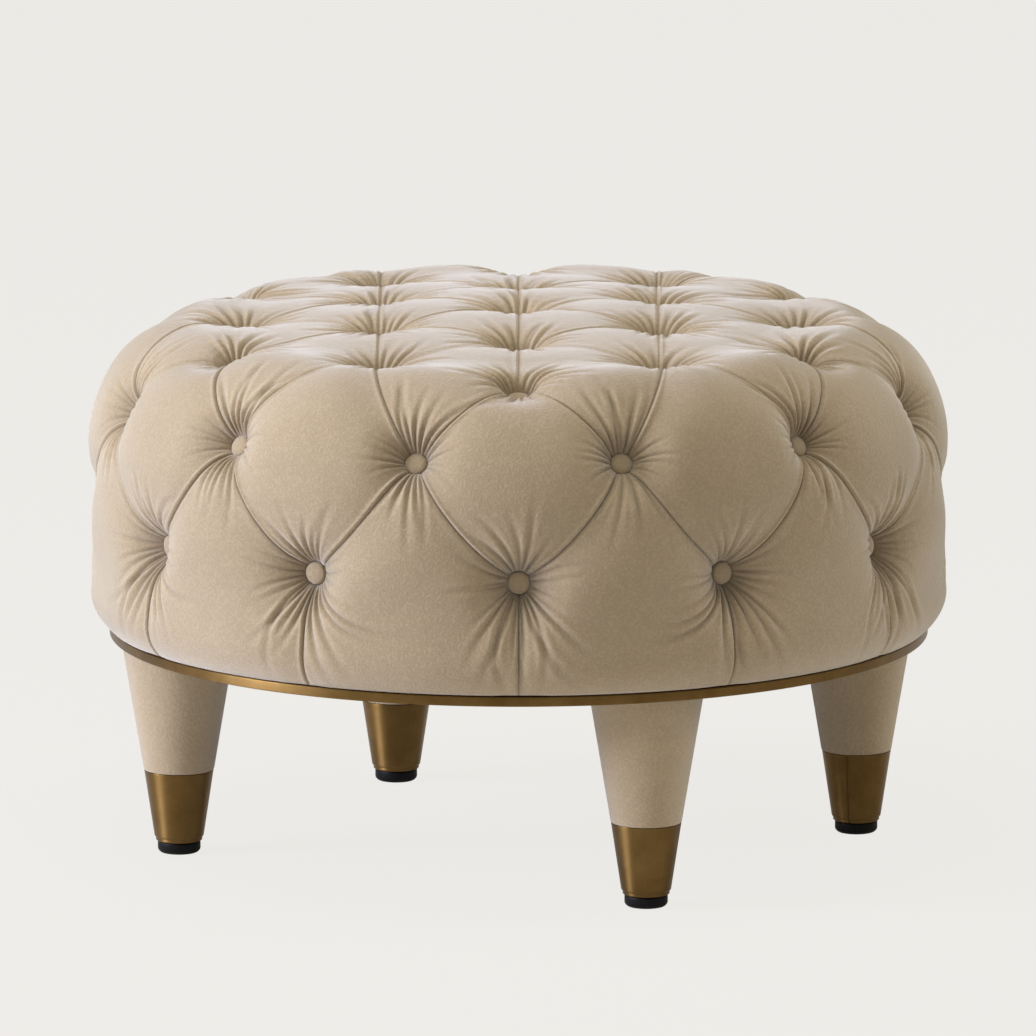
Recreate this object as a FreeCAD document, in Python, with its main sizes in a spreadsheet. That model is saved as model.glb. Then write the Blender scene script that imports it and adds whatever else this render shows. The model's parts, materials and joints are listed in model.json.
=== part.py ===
"""Round deep-buttoned cocktail ottoman on four tapered legs.

Millimetres, +Z up, origin on the floor under the middle of the drum, front facing -Y.
Sizes are plain numbers in the sheet "Dims"; heights and places worked out from them
are in the set "Levels"; every piece is bound to one or the other.
"""
import FreeCAD, Part
import Sketcher
import math
import os

doc = FreeCAD.newDocument("cocktail_ottoman")
ALL = {}

# Driving sizes

DIMS = [
    ("body_radius", 350, "crest of the buttoned side from the axis"),
    ("total_height", 442, "floor to the crest of the top"),
    ("crown_radius", 6000, "slight dome of the top"),
    ("shoulder_radius", 105, "round between the top and the side"),
    ("roll_radius", 40, "round between the side and the hem"),
    ("roll_reach", 0.75, "share of the lower round above the hem"),
    ("cover_thickness", 2.5, "velvet with its backing"),
    ("batting_thickness", 9, "wadding under the velvet"),
    ("top_foam_thickness", 42, "foam on the deck"),
    ("soft_gap", 0.3, "room between soft pieces and what they lie on"),
    ("fit_gap", 0.15, "room round pieces that fit into others"),
    ("run_gap", 0.05, "running room of a thread"),
    ("hem_opening", 300, "radius of the opening under the cover"),
    ("leg_height", 177, "floor to the underside of the plinth"),
    ("plinth_thickness", 8, "plinth board and the band round it"),
    ("ring_radius", 335, "outside of the brass band"),
    ("band_wall", 3, "radial thickness of the band"),
    ("dust_cover_thickness", 1, "black cloth over the hem"),
    ("dust_inset", 3, "dust cover edge back from the plinth edge"),
    ("base_radius", 322, "base board of the drum"),
    ("base_thickness", 18, "base board of the drum"),
    ("hoop_radius", 297, "outside of the fibreboard hoop"),
    ("hoop_wall", 5, "hoop thickness"),
    ("deck_thickness", 12, "deck under the top foam"),
    ("post_width", 36, "post along the hoop"),
    ("post_depth", 26, "post across the hoop"),
    ("tuft_spacing", 131, "between neighbouring buttons on the top"),
    ("tuft_depth", 29, "crest to the seat of a button"),
    ("corner_slope", 78, "degrees, way out of the far corner buttons"),
    ("upper_slope", 27.5, "degrees, way out of the upper row"),
    ("lower_height", 276, "floor to the lower row"),
    ("pit_floor_radius", 11, "seat round a button"),
    ("pit_mouth_radius", 42, "pit at the crest"),
    ("pit_over", 10, "pit tool beyond the crest"),
    ("button_radius", 9.5, "covered button"),
    ("button_height", 7, "seat to the crown of a button"),
    ("button_rim", 3.5, "straight edge of a button"),
    ("plug_radius", 7.5, "back plate of a button"),
    ("plug_thickness", 1.9, "back plate of a button"),
    ("eye_radius", 2, "eye under the back plate"),
    ("eye_length", 5, "eye under the back plate"),
    ("twine_radius", 1, "tufting twine"),
    ("knot_radius", 2.5, "knot that holds the twine"),
    ("knot_length", 3, "knot that holds the twine"),
    ("washer_radius", 6, "fibre washer under the knot"),
    ("washer_thickness", 2, "fibre washer under the knot"),
    ("channel_radius", 3, "hole for eye and twine"),
    ("leg_circle", 281, "leg axes from the middle"),
    ("leg_facing", 60, "degrees, way between the two back legs"),
    ("leg_half_spread", 51.4, "degrees from there to each back leg"),
    ("leg_top_radius", 46.6, "sleeve at the plinth"),
    ("leg_foot_radius", 28.6, "sleeve at the ferrule"),
    ("sleeve_thickness", 2, "velvet round a leg"),
    ("ferrule_top", 69, "floor to the rim of a ferrule"),
    ("ferrule_rim_radius", 27.3, "ferrule at its rim"),
    ("ferrule_foot_radius", 19.3, "ferrule at its lower end"),
    ("ferrule_wall", 1.5, "ferrule sheet"),
    ("ferrule_round", 2, "round at the lower end of a ferrule"),
    ("glide_height", 10, "floor to the ferrule"),
    ("glide_radius", 16.5, "black glide"),
    ("glide_round", 2.5, "round at the floor edge of a glide"),
    ("glide_cap_round", 0.8, "round at the upper edge of a glide"),
    ("stem_radius", 4, "levelling stem"),
    ("stem_length", 30, "levelling stem"),
    ("stem_seat", 3, "floor to the end of the stem in the glide"),
    ("stem_headroom", 12, "free bore above the stem"),
    ("insert_radius", 6, "threaded insert in the leg"),
    ("insert_length", 18, "threaded insert in the leg"),
    ("bolt_radius", 4, "hanger bolt"),
    ("bolt_grip", 42, "hanger bolt in the leg"),
    ("nut_barrel_radius", 5.5, "barrel of a T-nut"),
    ("nut_barrel_length", 12, "barrel of a T-nut"),
    ("nut_flange_radius", 10, "flange of a T-nut"),
    ("nut_flange_thickness", 2, "flange of a T-nut"),
    ("screw_radius", 2, "wood screws"),
    ("screw_head_radius", 4, "wood screws, countersunk"),
    ("screw_bite", 16, "wood screws in the far piece"),
    ("plinth_screw_circle", 200, "plinth screws from the middle"),
    ("staple_circle", 311, "hem staples from the middle"),
    ("staple_width", 10, "hem staple crown"),
    ("staple_wire", 0.9, "hem staple wire"),
    ("staple_leg", 9, "hem staple into the base board"),
]

sheet = doc.addObject("Spreadsheet::Sheet", "Dims")
for row, (alias, size, meaning) in enumerate(DIMS, start=1):
    sheet.set("A%d" % row, meaning)
    sheet.set("B%d" % row, str(size))
    sheet.setAlias("B%d" % row, alias)
doc.recompute()

# Heights and places that follow from the sizes

LEVELS = [
    ("plinth_top", "Dims.leg_height + Dims.plinth_thickness"),
    ("dust_top", "Levels.plinth_top + Dims.dust_cover_thickness"),
    ("hem_bottom", "Levels.dust_top + Dims.soft_gap"),
    ("hem_top", "Levels.hem_bottom + Dims.cover_thickness"),
    ("base_bottom", "Levels.hem_top + Dims.soft_gap"),
    ("base_top", "Levels.base_bottom + Dims.base_thickness"),
    ("roll_z", "Levels.hem_bottom + Dims.roll_reach * Dims.roll_radius"),
    ("batting_inset", "Dims.cover_thickness + Dims.soft_gap"),
    ("foam_face", "Levels.batting_inset + Dims.batting_thickness"),
    ("foam_inset", "Levels.foam_face + Dims.soft_gap"),
    ("foam_seat", "Dims.total_height - Levels.foam_inset - Dims.top_foam_thickness"),
    ("deck_top", "Levels.foam_seat - Dims.soft_gap"),
    ("deck_bottom", "Levels.deck_top - Dims.deck_thickness"),
    ("hoop_inside", "Dims.hoop_radius - Dims.hoop_wall"),
    ("plinth_radius", "Dims.ring_radius - Dims.band_wall - Dims.fit_gap"),
    ("post_out", "sqrt(Levels.hoop_inside^2 - (Dims.post_width / 2)^2) - Dims.fit_gap"),
    ("post_in", "Levels.post_out - Dims.post_depth"),
    ("post_circle", "Levels.post_out - Dims.post_depth / 2"),
    ("shoulder_r", "Dims.body_radius - Dims.shoulder_radius"),
    ("shoulder_z", "Dims.total_height - Dims.crown_radius"
                   " + sqrt((Dims.crown_radius - Dims.shoulder_radius)^2 - Levels.shoulder_r^2)"),
    ("edge_r", "sqrt(3) * Dims.tuft_spacing"),
    ("edge_z", "Dims.total_height - Dims.crown_radius"
               " + sqrt(Dims.crown_radius^2 - Levels.edge_r^2)"),
    ("inner_z", "Dims.total_height - Dims.crown_radius"
                " + sqrt(Dims.crown_radius^2 - Dims.tuft_spacing^2)"),
    ("corner_r", "Levels.shoulder_r + Dims.shoulder_radius * cos(Dims.corner_slope * 1 deg)"),
    ("corner_z", "Levels.shoulder_z + Dims.shoulder_radius * sin(Dims.corner_slope * 1 deg)"),
    ("upper_r", "Levels.shoulder_r + Dims.shoulder_radius * cos(Dims.upper_slope * 1 deg)"),
    ("upper_z", "Levels.shoulder_z + Dims.shoulder_radius * sin(Dims.upper_slope * 1 deg)"),
    ("pit_slope", "(Dims.pit_mouth_radius - Dims.pit_floor_radius) / Dims.tuft_depth"),
    ("pit_grow", "sqrt(1 + Levels.pit_slope^2) - Levels.pit_slope"),
    ("seat", "Dims.soft_gap - Dims.tuft_depth"),
    ("twine_top", "Levels.seat - Dims.eye_length - Dims.fit_gap"),
    ("core_bottom", "Dims.glide_height + Dims.ferrule_wall + Dims.fit_gap"),
    ("insert_top", "Levels.core_bottom + Dims.insert_length"),
    ("stem_top", "Dims.stem_seat + Dims.stem_length"),
    ("bore_top", "Levels.stem_top + Dims.stem_headroom"),
    ("bolt_bottom", "Dims.leg_height - Dims.bolt_grip"),
    ("nut_top", "Levels.base_top + Dims.nut_flange_thickness"),
    ("glide_top", "Dims.glide_height - Dims.soft_gap"),
]

levels = doc.addObject("App::VarSet", "Levels")
for name, formula in LEVELS:
    levels.addProperty("App::PropertyFloat", name, "Levels")
for name, formula in LEVELS:
    levels.setExpression(name, formula)
doc.recompute()

# Helpers: sketches whose corners are formulas, turned pieces, patterns, booleans


def origin_feature(body, role):
    return next(item for item in body.Origin.OriginFeatures if item.Role == role)


def new_body(name):
    body = doc.addObject("PartDesign::Body", name)
    body.AllowCompound = True
    return body


def new_sketch(body, name, plane="XZ_Plane", turn=0.0):
    """Sketch on an origin plane, turned about the upright axis by so many degrees."""
    sketch = body.newObject("Sketcher::SketchObject", name)
    sketch.AttachmentSupport = [(origin_feature(body, plane), "")]
    sketch.MapMode = "FlatFace"
    spin = FreeCAD.Rotation(FreeCAD.Vector(0, 1, 0), turn)
    sketch.AttachmentOffset = FreeCAD.Placement(FreeCAD.Vector(), spin)
    return sketch


def pin(sketch, kind, geometry, end, formula):
    """Hold one coordinate of a point at a formula."""
    if formula == "0":
        axis = -2 if kind == "DistanceX" else -1
        sketch.addConstraint(Sketcher.Constraint("PointOnObject", geometry, end, axis))
        return
    point = sketch.getPoint(geometry, end)
    now = point.x if kind == "DistanceX" else point.y
    number = sketch.addConstraint(Sketcher.Constraint(kind, -1, 1, geometry, end, now))
    sketch.setExpression("Constraints[%d]" % number, formula)


def draw_polygon(sketch, corners):
    """Closed outline through (across, up) formulas, in order."""
    count = len(corners)
    rough = [FreeCAD.Vector(60 + 40 * math.cos(2 * math.pi * i / count),
                            60 + 40 * math.sin(2 * math.pi * i / count), 0) for i in range(count)]
    for i in range(count):
        sketch.addGeometry(Part.LineSegment(rough[i], rough[(i + 1) % count]), False)
    for i in range(count):
        sketch.addConstraint(Sketcher.Constraint("Coincident", i, 2, (i + 1) % count, 1))
    for i, (across, up) in enumerate(corners):
        pin(sketch, "DistanceX", i, 1, across)
        pin(sketch, "DistanceY", i, 1, up)


def revolve(body, sketch, axis):
    feature = body.newObject("PartDesign::Revolution", sketch.Name + "_turned")
    feature.Profile = sketch
    feature.ReferenceAxis = (sketch, [axis])
    feature.Angle = 360
    feature.Refine = False
    body.Tip = feature
    return feature


def turned(name, corners):
    """Body turned about its own upright axis."""
    body = new_body(name)
    sketch = new_sketch(body, name + "_section")
    draw_polygon(sketch, corners)
    revolve(body, sketch, "V_Axis")
    return body


def round_off(body, name, radius, picked):
    """Round the edges of the body that the test picks."""
    doc.recompute()
    base = body.Tip
    edges = ["Edge%d" % (i + 1) for i, edge in enumerate(base.Shape.Edges) if picked(edge)]
    fillet = body.newObject("PartDesign::Fillet", name)
    fillet.Base = (base, edges)
    fillet.setExpression("Radius", radius)
    body.Tip = fillet


def repeat(body, feature, count):
    pattern = body.newObject("PartDesign::PolarPattern", feature.Name + "_pattern")
    pattern.Originals = [feature]
    pattern.Axis = (origin_feature(body, "Z_Axis"), [""])
    pattern.Angle = 360
    pattern.Occurrences = count
    pattern.Refine = False
    body.Tip = pattern


def spun(body, name, family, outline):
    """Outline of (out from the button's axis, along it) turned about that axis, then repeated."""
    tilt = "(%s) * 1 deg" % family["slope"]
    sketch = new_sketch(body, name, turn=family["turn"])
    corners = []
    for out, along in outline:
        corners.append(("%s + (%s) * cos(%s) + (%s) * sin(%s)" % (family["r"], along, tilt, out, tilt),
                        "%s + (%s) * sin(%s) - (%s) * cos(%s)" % (family["z"], along, tilt, out, tilt)))
    draw_polygon(sketch, corners)
    line = sketch.addGeometry(Part.LineSegment(FreeCAD.Vector(20, 20, 0), FreeCAD.Vector(30, 40, 0)), True)
    for end, along in ((1, "0"), (2, "10")):
        pin(sketch, "DistanceX", line, end, "%s + %s * cos(%s)" % (family["r"], along, tilt))
        pin(sketch, "DistanceY", line, end, "%s + %s * sin(%s)" % (family["z"], along, tilt))
    feature = revolve(body, sketch, "Axis0")
    if family["count"] > 1:
        repeat(body, feature, family["count"])


def cut(name, base, *tools):
    for number, tool in enumerate(tools):
        last = number == len(tools) - 1
        result = doc.addObject("Part::Cut", name if last else "%s_stage_%d" % (name, number + 1))
        result.Base, result.Tool, result.Refine = base, tool, False
        base = result
    return base


def common(name, base, tool):
    result = doc.addObject("Part::Common", name)
    result.Base, result.Tool, result.Refine = base, tool, False
    return result


def compound(name, items):
    result = doc.addObject("Part::Compound", name)
    result.Links = items
    return result


def cylinder(name, radius, height, bottom):
    solid = doc.addObject("Part::Cylinder", name)
    solid.setExpression("Radius", radius)
    solid.setExpression("Height", height)
    solid.setExpression("Placement.Base.z", bottom)
    return solid


def keep(obj, label=None):
    """Mark a piece for export under its label."""
    obj.Label = label or obj.Name
    ALL[obj.Label] = obj
    return obj


# Legs: two diagonals of a circle, so opposite legs face each other

LEGS = {
    "back_right": "Dims.leg_facing - Dims.leg_half_spread",
    "back_left": "Dims.leg_facing + Dims.leg_half_spread",
    "front_left": "Dims.leg_facing - Dims.leg_half_spread + 180",
    "front_right": "Dims.leg_facing + Dims.leg_half_spread + 180",
}


def stand_at(obj, leg):
    obj.setExpression("Placement.Base.x", "Dims.leg_circle * cos((%s) * 1 deg)" % LEGS[leg])
    obj.setExpression("Placement.Base.y", "Dims.leg_circle * sin((%s) * 1 deg)" % LEGS[leg])
    return obj


def on_circle(radius, height):
    """Test for a round edge of about this size at this height."""
    def test(edge):
        box = edge.BoundBox
        return box.ZLength < 1e-4 and abs(box.ZMax - height) < 1e-3 and abs(box.XLength / 2 - radius) < 1e-3
    return test


def at(name):
    return getattr(levels, name)


def size(alias):
    return float(sheet.get(alias))


FIT = "Dims.fit_gap"
bolts, nuts, inserts, bolt_bores, nut_bores = [], [], [], [], []
for leg in LEGS:
    core = turned("leg_core_" + leg, [
        ("0", "Levels.bore_top"),
        ("Dims.stem_radius + 1", "Levels.bore_top"),
        ("Dims.stem_radius + 1", "Levels.insert_top + " + FIT),
        ("Dims.insert_radius + " + FIT, "Levels.insert_top + " + FIT),
        ("Dims.insert_radius + " + FIT, "Levels.core_bottom"),
        ("Dims.ferrule_foot_radius - Dims.ferrule_wall - Dims.fit_gap", "Levels.core_bottom"),
        ("Dims.ferrule_rim_radius - Dims.ferrule_wall - Dims.fit_gap", "Dims.ferrule_top"),
        ("Dims.leg_foot_radius - Dims.sleeve_thickness - Dims.soft_gap", "Dims.ferrule_top"),
        ("Dims.leg_top_radius - Dims.sleeve_thickness - Dims.soft_gap", "Dims.leg_height"),
        ("Dims.bolt_radius + " + FIT, "Dims.leg_height"),
        ("Dims.bolt_radius + " + FIT, "Levels.bolt_bottom - " + FIT),
        ("0", "Levels.bolt_bottom - " + FIT),
    ])
    sleeve = turned("leg_sleeve_" + leg, [
        ("Dims.leg_foot_radius - Dims.sleeve_thickness", "Dims.ferrule_top + Dims.soft_gap"),
        ("Dims.leg_foot_radius", "Dims.ferrule_top + Dims.soft_gap"),
        ("Dims.leg_top_radius", "Dims.leg_height - Dims.soft_gap"),
        ("Dims.leg_top_radius - Dims.sleeve_thickness", "Dims.leg_height - Dims.soft_gap"),
    ])
    ferrule = turned("ferrule_" + leg, [
        ("Dims.insert_radius", "Dims.glide_height"),
        ("Dims.ferrule_foot_radius", "Dims.glide_height"),
        ("Dims.ferrule_rim_radius", "Dims.ferrule_top"),
        ("Dims.ferrule_rim_radius - Dims.ferrule_wall", "Dims.ferrule_top"),
        ("Dims.ferrule_foot_radius - Dims.ferrule_wall", "Dims.glide_height + Dims.ferrule_wall"),
        ("Dims.insert_radius", "Dims.glide_height + Dims.ferrule_wall"),
    ])
    round_off(ferrule, "ferrule_%s_round" % leg, "Dims.ferrule_round",
              on_circle(size("ferrule_foot_radius"), size("glide_height")))
    glide = turned("glide_" + leg, [
        ("0", "0"),
        ("Dims.glide_radius", "0"),
        ("Dims.glide_radius", "Levels.glide_top"),
        ("Dims.stem_radius + Dims.run_gap", "Levels.glide_top"),
        ("Dims.stem_radius + Dims.run_gap", "Dims.stem_seat"),
        ("0", "Dims.stem_seat"),
    ])
    round_off(glide, "glide_%s_round" % leg, "Dims.glide_round", on_circle(size("glide_radius"), 0))
    round_off(glide, "glide_%s_cap" % leg, "Dims.glide_cap_round",
              on_circle(size("glide_radius"), at("glide_top")))
    stem = turned("stem_" + leg, [
        ("0", "Dims.stem_seat"),
        ("Dims.stem_radius", "Dims.stem_seat"),
        ("Dims.stem_radius", "Levels.stem_top"),
        ("0", "Levels.stem_top"),
    ])
    for piece in (core, sleeve, ferrule, glide, stem):
        keep(stand_at(piece, leg))
    inserts.append(stand_at(turned("insert_" + leg, [
        ("Dims.stem_radius + Dims.run_gap", "Levels.core_bottom"),
        ("Dims.insert_radius", "Levels.core_bottom"),
        ("Dims.insert_radius", "Levels.insert_top"),
        ("Dims.stem_radius + Dims.run_gap", "Levels.insert_top"),
    ]), leg))
    bolts.append(stand_at(cylinder(
        "bolt_" + leg, "Dims.bolt_radius", "Levels.nut_top - Levels.bolt_bottom", "Levels.bolt_bottom"), leg))
    nuts.append(stand_at(turned("nut_" + leg, [
        ("Dims.bolt_radius + " + FIT, "Levels.base_top - Dims.nut_barrel_length"),
        ("Dims.nut_barrel_radius", "Levels.base_top - Dims.nut_barrel_length"),
        ("Dims.nut_barrel_radius", "Levels.base_top"),
        ("Dims.nut_flange_radius", "Levels.base_top"),
        ("Dims.nut_flange_radius", "Levels.nut_top"),
        ("Dims.bolt_radius + " + FIT, "Levels.nut_top"),
    ]), leg))
    bolt_bores.append(stand_at(cylinder(
        "bolt_bore_" + leg, "Dims.bolt_radius + " + FIT, "Levels.nut_top", "0"), leg))
    nut_bores.append(stand_at(cylinder(
        "nut_bore_" + leg, "Dims.nut_barrel_radius + " + FIT, "Levels.nut_top", "0"), leg))
keep(compound("leg_inserts", inserts))
keep(compound("hanger_bolts", bolts))
keep(compound("t_nuts", nuts))
bolt_holes = compound("bolt_holes", bolt_bores)
nut_holes = compound("nut_holes", nut_bores)

# Wood screws: a countersunk outline turned about an upright axis off the middle


def screws(name, circle, head, way, length, turn, room):
    """Ring of eight screws with heads at a height, pointing up (way 1) or down (way -1)."""
    place = {"r": circle, "z": head, "slope": "%d" % (-90 * way), "turn": turn, "count": 8}
    shank = "Dims.screw_radius + %s" % room
    wide = "Dims.screw_head_radius + %s" % room
    body = new_body(name)
    spun(body, name + "_section", place, [
        ("0", room), (wide, room), (wide, "0"),
        (shank, "-(Dims.screw_head_radius - Dims.screw_radius)"),
        (shank, "-(%s) - %s" % (length, room)), ("0", "-(%s) - %s" % (length, room)),
    ])
    return body


SCREW_SETS = {
    "deck_screws": ("Levels.post_circle", "Levels.deck_top - 0.2", -1,
                    "Dims.deck_thickness + Dims.screw_bite", 37.5),
    "base_screws": ("Levels.post_circle", "Levels.base_bottom + 0.2", 1,
                    "Dims.base_thickness + Dims.screw_bite", 37.5),
    "plinth_screws": ("Dims.plinth_screw_circle", "Dims.leg_height + 0.2", 1,
                      "Levels.base_bottom - Dims.leg_height + Dims.screw_bite - 4", 22.5),
}
screw_holes = {}
for name, (circle, head, way, length, turn) in SCREW_SETS.items():
    keep(screws(name, circle, head, way, length, turn, "0.01"))
    screw_holes[name] = screws(name + "_holes", circle, head, way, length, turn, "0.2")

# Buttons: families on the crest, each with a way out, a first turn and a count

FAMILIES = {
    "middle": {"r": "0", "z": "Dims.total_height", "slope": "90", "turn": 0, "count": 1},
    "inner": {"r": "Dims.tuft_spacing", "z": "Levels.inner_z", "slope": "90", "turn": 30, "count": 6},
    "edge": {"r": "Levels.edge_r", "z": "Levels.edge_z", "slope": "90", "turn": 0, "count": 6},
    "corner": {"r": "Levels.corner_r", "z": "Levels.corner_z", "slope": "Dims.corner_slope",
               "turn": 30, "count": 6},
    "upper": {"r": "Levels.upper_r", "z": "Levels.upper_z", "slope": "Dims.upper_slope",
              "turn": 15, "count": 12},
    "lower": {"r": "Dims.body_radius", "z": "Dims.lower_height", "slope": "0", "turn": 0, "count": 12},
}
ON_TOP = ("middle", "inner", "edge", "corner")
ON_SIDE = ("upper", "lower")
for key, family in FAMILIES.items():
    tilt = "(%s) * 1 deg" % family["slope"]
    if key in ON_TOP:
        family["reach"] = "((%s - Levels.deck_bottom) / sin(%s))" % (family["z"], tilt)
        family["lean"] = "(Dims.washer_radius / tan(%s))" % tilt if key == "corner" else "0"
    else:
        family["reach"] = "((%s - Levels.hoop_inside) / cos(%s))" % (family["r"], tilt)
        family["lean"] = "(Dims.washer_radius * tan(%s))" % tilt


def pit(inset, holed=True):
    """Pit at a depth inside the crest, with the hole for eye and twine below its floor."""
    floor = "-(Dims.tuft_depth + %s)" % inset
    narrow = "Dims.pit_floor_radius + Levels.pit_grow * (%s)" % inset
    wide = "%s + Levels.pit_slope * (Dims.tuft_depth + %s + Dims.pit_over)" % (narrow, inset)
    mouth = [(narrow, floor), (wide, "Dims.pit_over"), ("0", "Dims.pit_over")]

    def outline(family):
        if not holed:
            return [("0", floor)] + mouth
        end = "-(%s + %s + 1)" % (family["reach"], family["lean"])
        return [("0", end), ("Dims.channel_radius", end), ("Dims.channel_radius", floor)] + mouth
    return outline


def button_cap(family):
    top = "Levels.seat + Dims.button_height"
    return [
        ("0", "Levels.seat + Dims.plug_thickness + " + FIT),
        ("Dims.plug_radius + " + FIT, "Levels.seat + Dims.plug_thickness + " + FIT),
        ("Dims.plug_radius + " + FIT, "Levels.seat"),
        ("Dims.button_radius", "Levels.seat"),
        ("Dims.button_radius", "Levels.seat + Dims.button_rim"),
        ("Dims.button_radius * 0.78", top + " - (Dims.button_height - Dims.button_rim) * 0.4"),
        ("Dims.button_radius * 0.42", top + " - (Dims.button_height - Dims.button_rim) * 0.1"),
        ("0", top),
    ]


def button_back(family):
    return [
        ("0", "Levels.seat - Dims.eye_length"),
        ("Dims.eye_radius", "Levels.seat - Dims.eye_length"),
        ("Dims.eye_radius", "Levels.seat"),
        ("Dims.plug_radius", "Levels.seat"),
        ("Dims.plug_radius", "Levels.seat + Dims.plug_thickness"),
        ("0", "Levels.seat + Dims.plug_thickness"),
    ]


def washer_level(family):
    return "-(%s + %s + Dims.fit_gap" % (family["reach"], family["lean"])


def twine(family):
    knot = washer_level(family) + " + Dims.washer_thickness + Dims.fit_gap)"
    end = washer_level(family) + " + Dims.washer_thickness + Dims.fit_gap + Dims.knot_length)"
    return [
        ("0", "Levels.twine_top"), ("Dims.twine_radius", "Levels.twine_top"),
        ("Dims.twine_radius", knot), ("Dims.knot_radius", knot), ("Dims.knot_radius", end), ("0", end),
    ]


def washer(family):
    near, far = washer_level(family) + ")", washer_level(family) + " + Dims.washer_thickness)"
    hole = "Dims.twine_radius + " + FIT
    return [(hole, near), ("Dims.washer_radius", near), ("Dims.washer_radius", far), (hole, far)]


def at_buttons(name, outline, keys):
    body = new_body(name)
    for key in keys:
        spun(body, "%s_%s" % (name, key), FAMILIES[key], outline(FAMILIES[key]))
    return body


pits_outside = at_buttons("pits_outside", pit("0"), FAMILIES)
pits_inside = at_buttons("pits_inside", pit("Dims.cover_thickness", holed=False), FAMILIES)
pits_padding = at_buttons("pits_padding", pit("Levels.batting_inset"), FAMILIES)
keep(at_buttons("top_buttons", button_cap, ON_TOP))
keep(at_buttons("upper_row_buttons", button_cap, ("upper",)))
keep(at_buttons("lower_row_buttons", button_cap, ("lower",)))
keep(at_buttons("button_backs", button_back, FAMILIES))
keep(at_buttons("top_twine", twine, ON_TOP))
keep(at_buttons("side_twine", twine, ON_SIDE))
keep(at_buttons("top_washers", washer, ON_TOP))
keep(at_buttons("side_washers", washer, ON_SIDE))

# Soft layers: one outline drawn parallel to itself at different depths


def soft_blank(name, inset, bottom, opening=None):
    """Turned drum lying a given depth inside the crest, open below for an opening radius."""
    body = new_body(name)
    sketch = new_sketch(body, name + "_section")
    depth, base = soft_numbers[name]
    top, wall = size("total_height") - depth, size("body_radius") - depth
    crown, shoulder, roll = (size(k) - depth for k in ("crown_radius", "shoulder_radius", "roll_radius"))
    mid_r, mid_z, roll_z = at("shoulder_r"), at("shoulder_z"), at("roll_z")
    meet = math.atan2(mid_z - (top - crown), mid_r)
    under = math.asin((roll_z - base) / roll)
    vec, up = FreeCAD.Vector, FreeCAD.Vector(0, 0, 1)
    roll_r = wall - roll
    hem = vec(roll_r + roll * math.cos(under), base, 0)
    arcs = [
        Part.ArcOfCircle(Part.Circle(vec(0, top - crown, 0), up, crown), meet, math.pi / 2),
        Part.ArcOfCircle(Part.Circle(vec(mid_r, mid_z, 0), up, shoulder), 0, meet),
        Part.LineSegment(vec(wall, roll_z, 0), vec(wall, mid_z, 0)),
        Part.ArcOfCircle(Part.Circle(vec(roll_r, roll_z, 0), up, roll), -under, 0),
    ]
    floor = [hem]
    if opening:
        mouth = size(opening[0]) + opening[1]
        floor += [vec(mouth, base, 0), vec(mouth, base - opening[2], 0), vec(0, base - opening[2], 0)]
    else:
        floor += [vec(0, base, 0)]
    floor += [vec(0, top, 0)]
    for arc in arcs:
        sketch.addGeometry(arc, False)
    lines = [sketch.addGeometry(Part.LineSegment(a, b), False) for a, b in zip(floor, floor[1:])]
    add = lambda *what: sketch.addConstraint(Sketcher.Constraint(*what))
    add("Tangent", 3, 2, 2, 1)
    add("Tangent", 2, 2, 1, 1)
    add("Tangent", 1, 2, 0, 1)
    add("Vertical", 2)
    add("Coincident", 3, 1, lines[0], 1)
    for a, b in zip(lines, lines[1:]):
        add("Coincident", a, 2, b, 1)
    add("Coincident", lines[-1], 2, 0, 2)
    add("PointOnObject", 0, 3, -2)
    add("PointOnObject", lines[-1], 1, -2)
    add("PointOnObject", lines[-1], 2, -2)
    for geometry, radius in ((0, "crown_radius"), (1, "shoulder_radius"), (3, "roll_radius")):
        number = add("Radius", geometry, size(radius) - depth)
        sketch.setExpression("Constraints[%d]" % number, "Dims.%s - (%s)" % (radius, inset))
    pin(sketch, "DistanceX", 2, 1, "Dims.body_radius - (%s)" % inset)
    pin(sketch, "DistanceY", 2, 1, "Levels.roll_z")
    pin(sketch, "DistanceY", lines[-1], 2, "Dims.total_height - (%s)" % inset)
    pin(sketch, "DistanceY", lines[0], 1, bottom)
    if opening:
        add("Horizontal", lines[0])
        add("Vertical", lines[1])
        add("Horizontal", lines[2])
        pin(sketch, "DistanceX", lines[1], 1, "Dims.%s + %s" % (opening[0], opening[1]))
        pin(sketch, "DistanceY", lines[1], 2, "%s - %s" % (bottom, opening[2]))
    else:
        add("Horizontal", lines[0])
    revolve(body, sketch, "V_Axis")
    return body


LIP = 30
soft_numbers = {
    "cover_outside": (0.0, at("hem_bottom")),
    "cover_inside": (size("cover_thickness"), at("hem_top")),
    "batting_outside": (at("batting_inset"), at("base_bottom")),
    "batting_inside": (at("foam_face"), at("base_top")),
    "foam_drum": (at("foam_inset"), at("base_top") + size("soft_gap")),
}
cover_outside = soft_blank("cover_outside", "0", "Levels.hem_bottom")
cover_inside = soft_blank("cover_inside", "Dims.cover_thickness", "Levels.hem_top",
                          ("hem_opening", 0, LIP))
batting_outside = soft_blank("batting_outside", "Levels.batting_inset", "Levels.base_bottom")
batting_inside = soft_blank("batting_inside", "Levels.foam_face", "Levels.base_top",
                            ("base_radius", size("soft_gap"), LIP))
foam_drum = soft_blank("foam_drum", "Levels.foam_inset", "Levels.base_top + Dims.soft_gap")

# Staples through the hem into the base board

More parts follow.
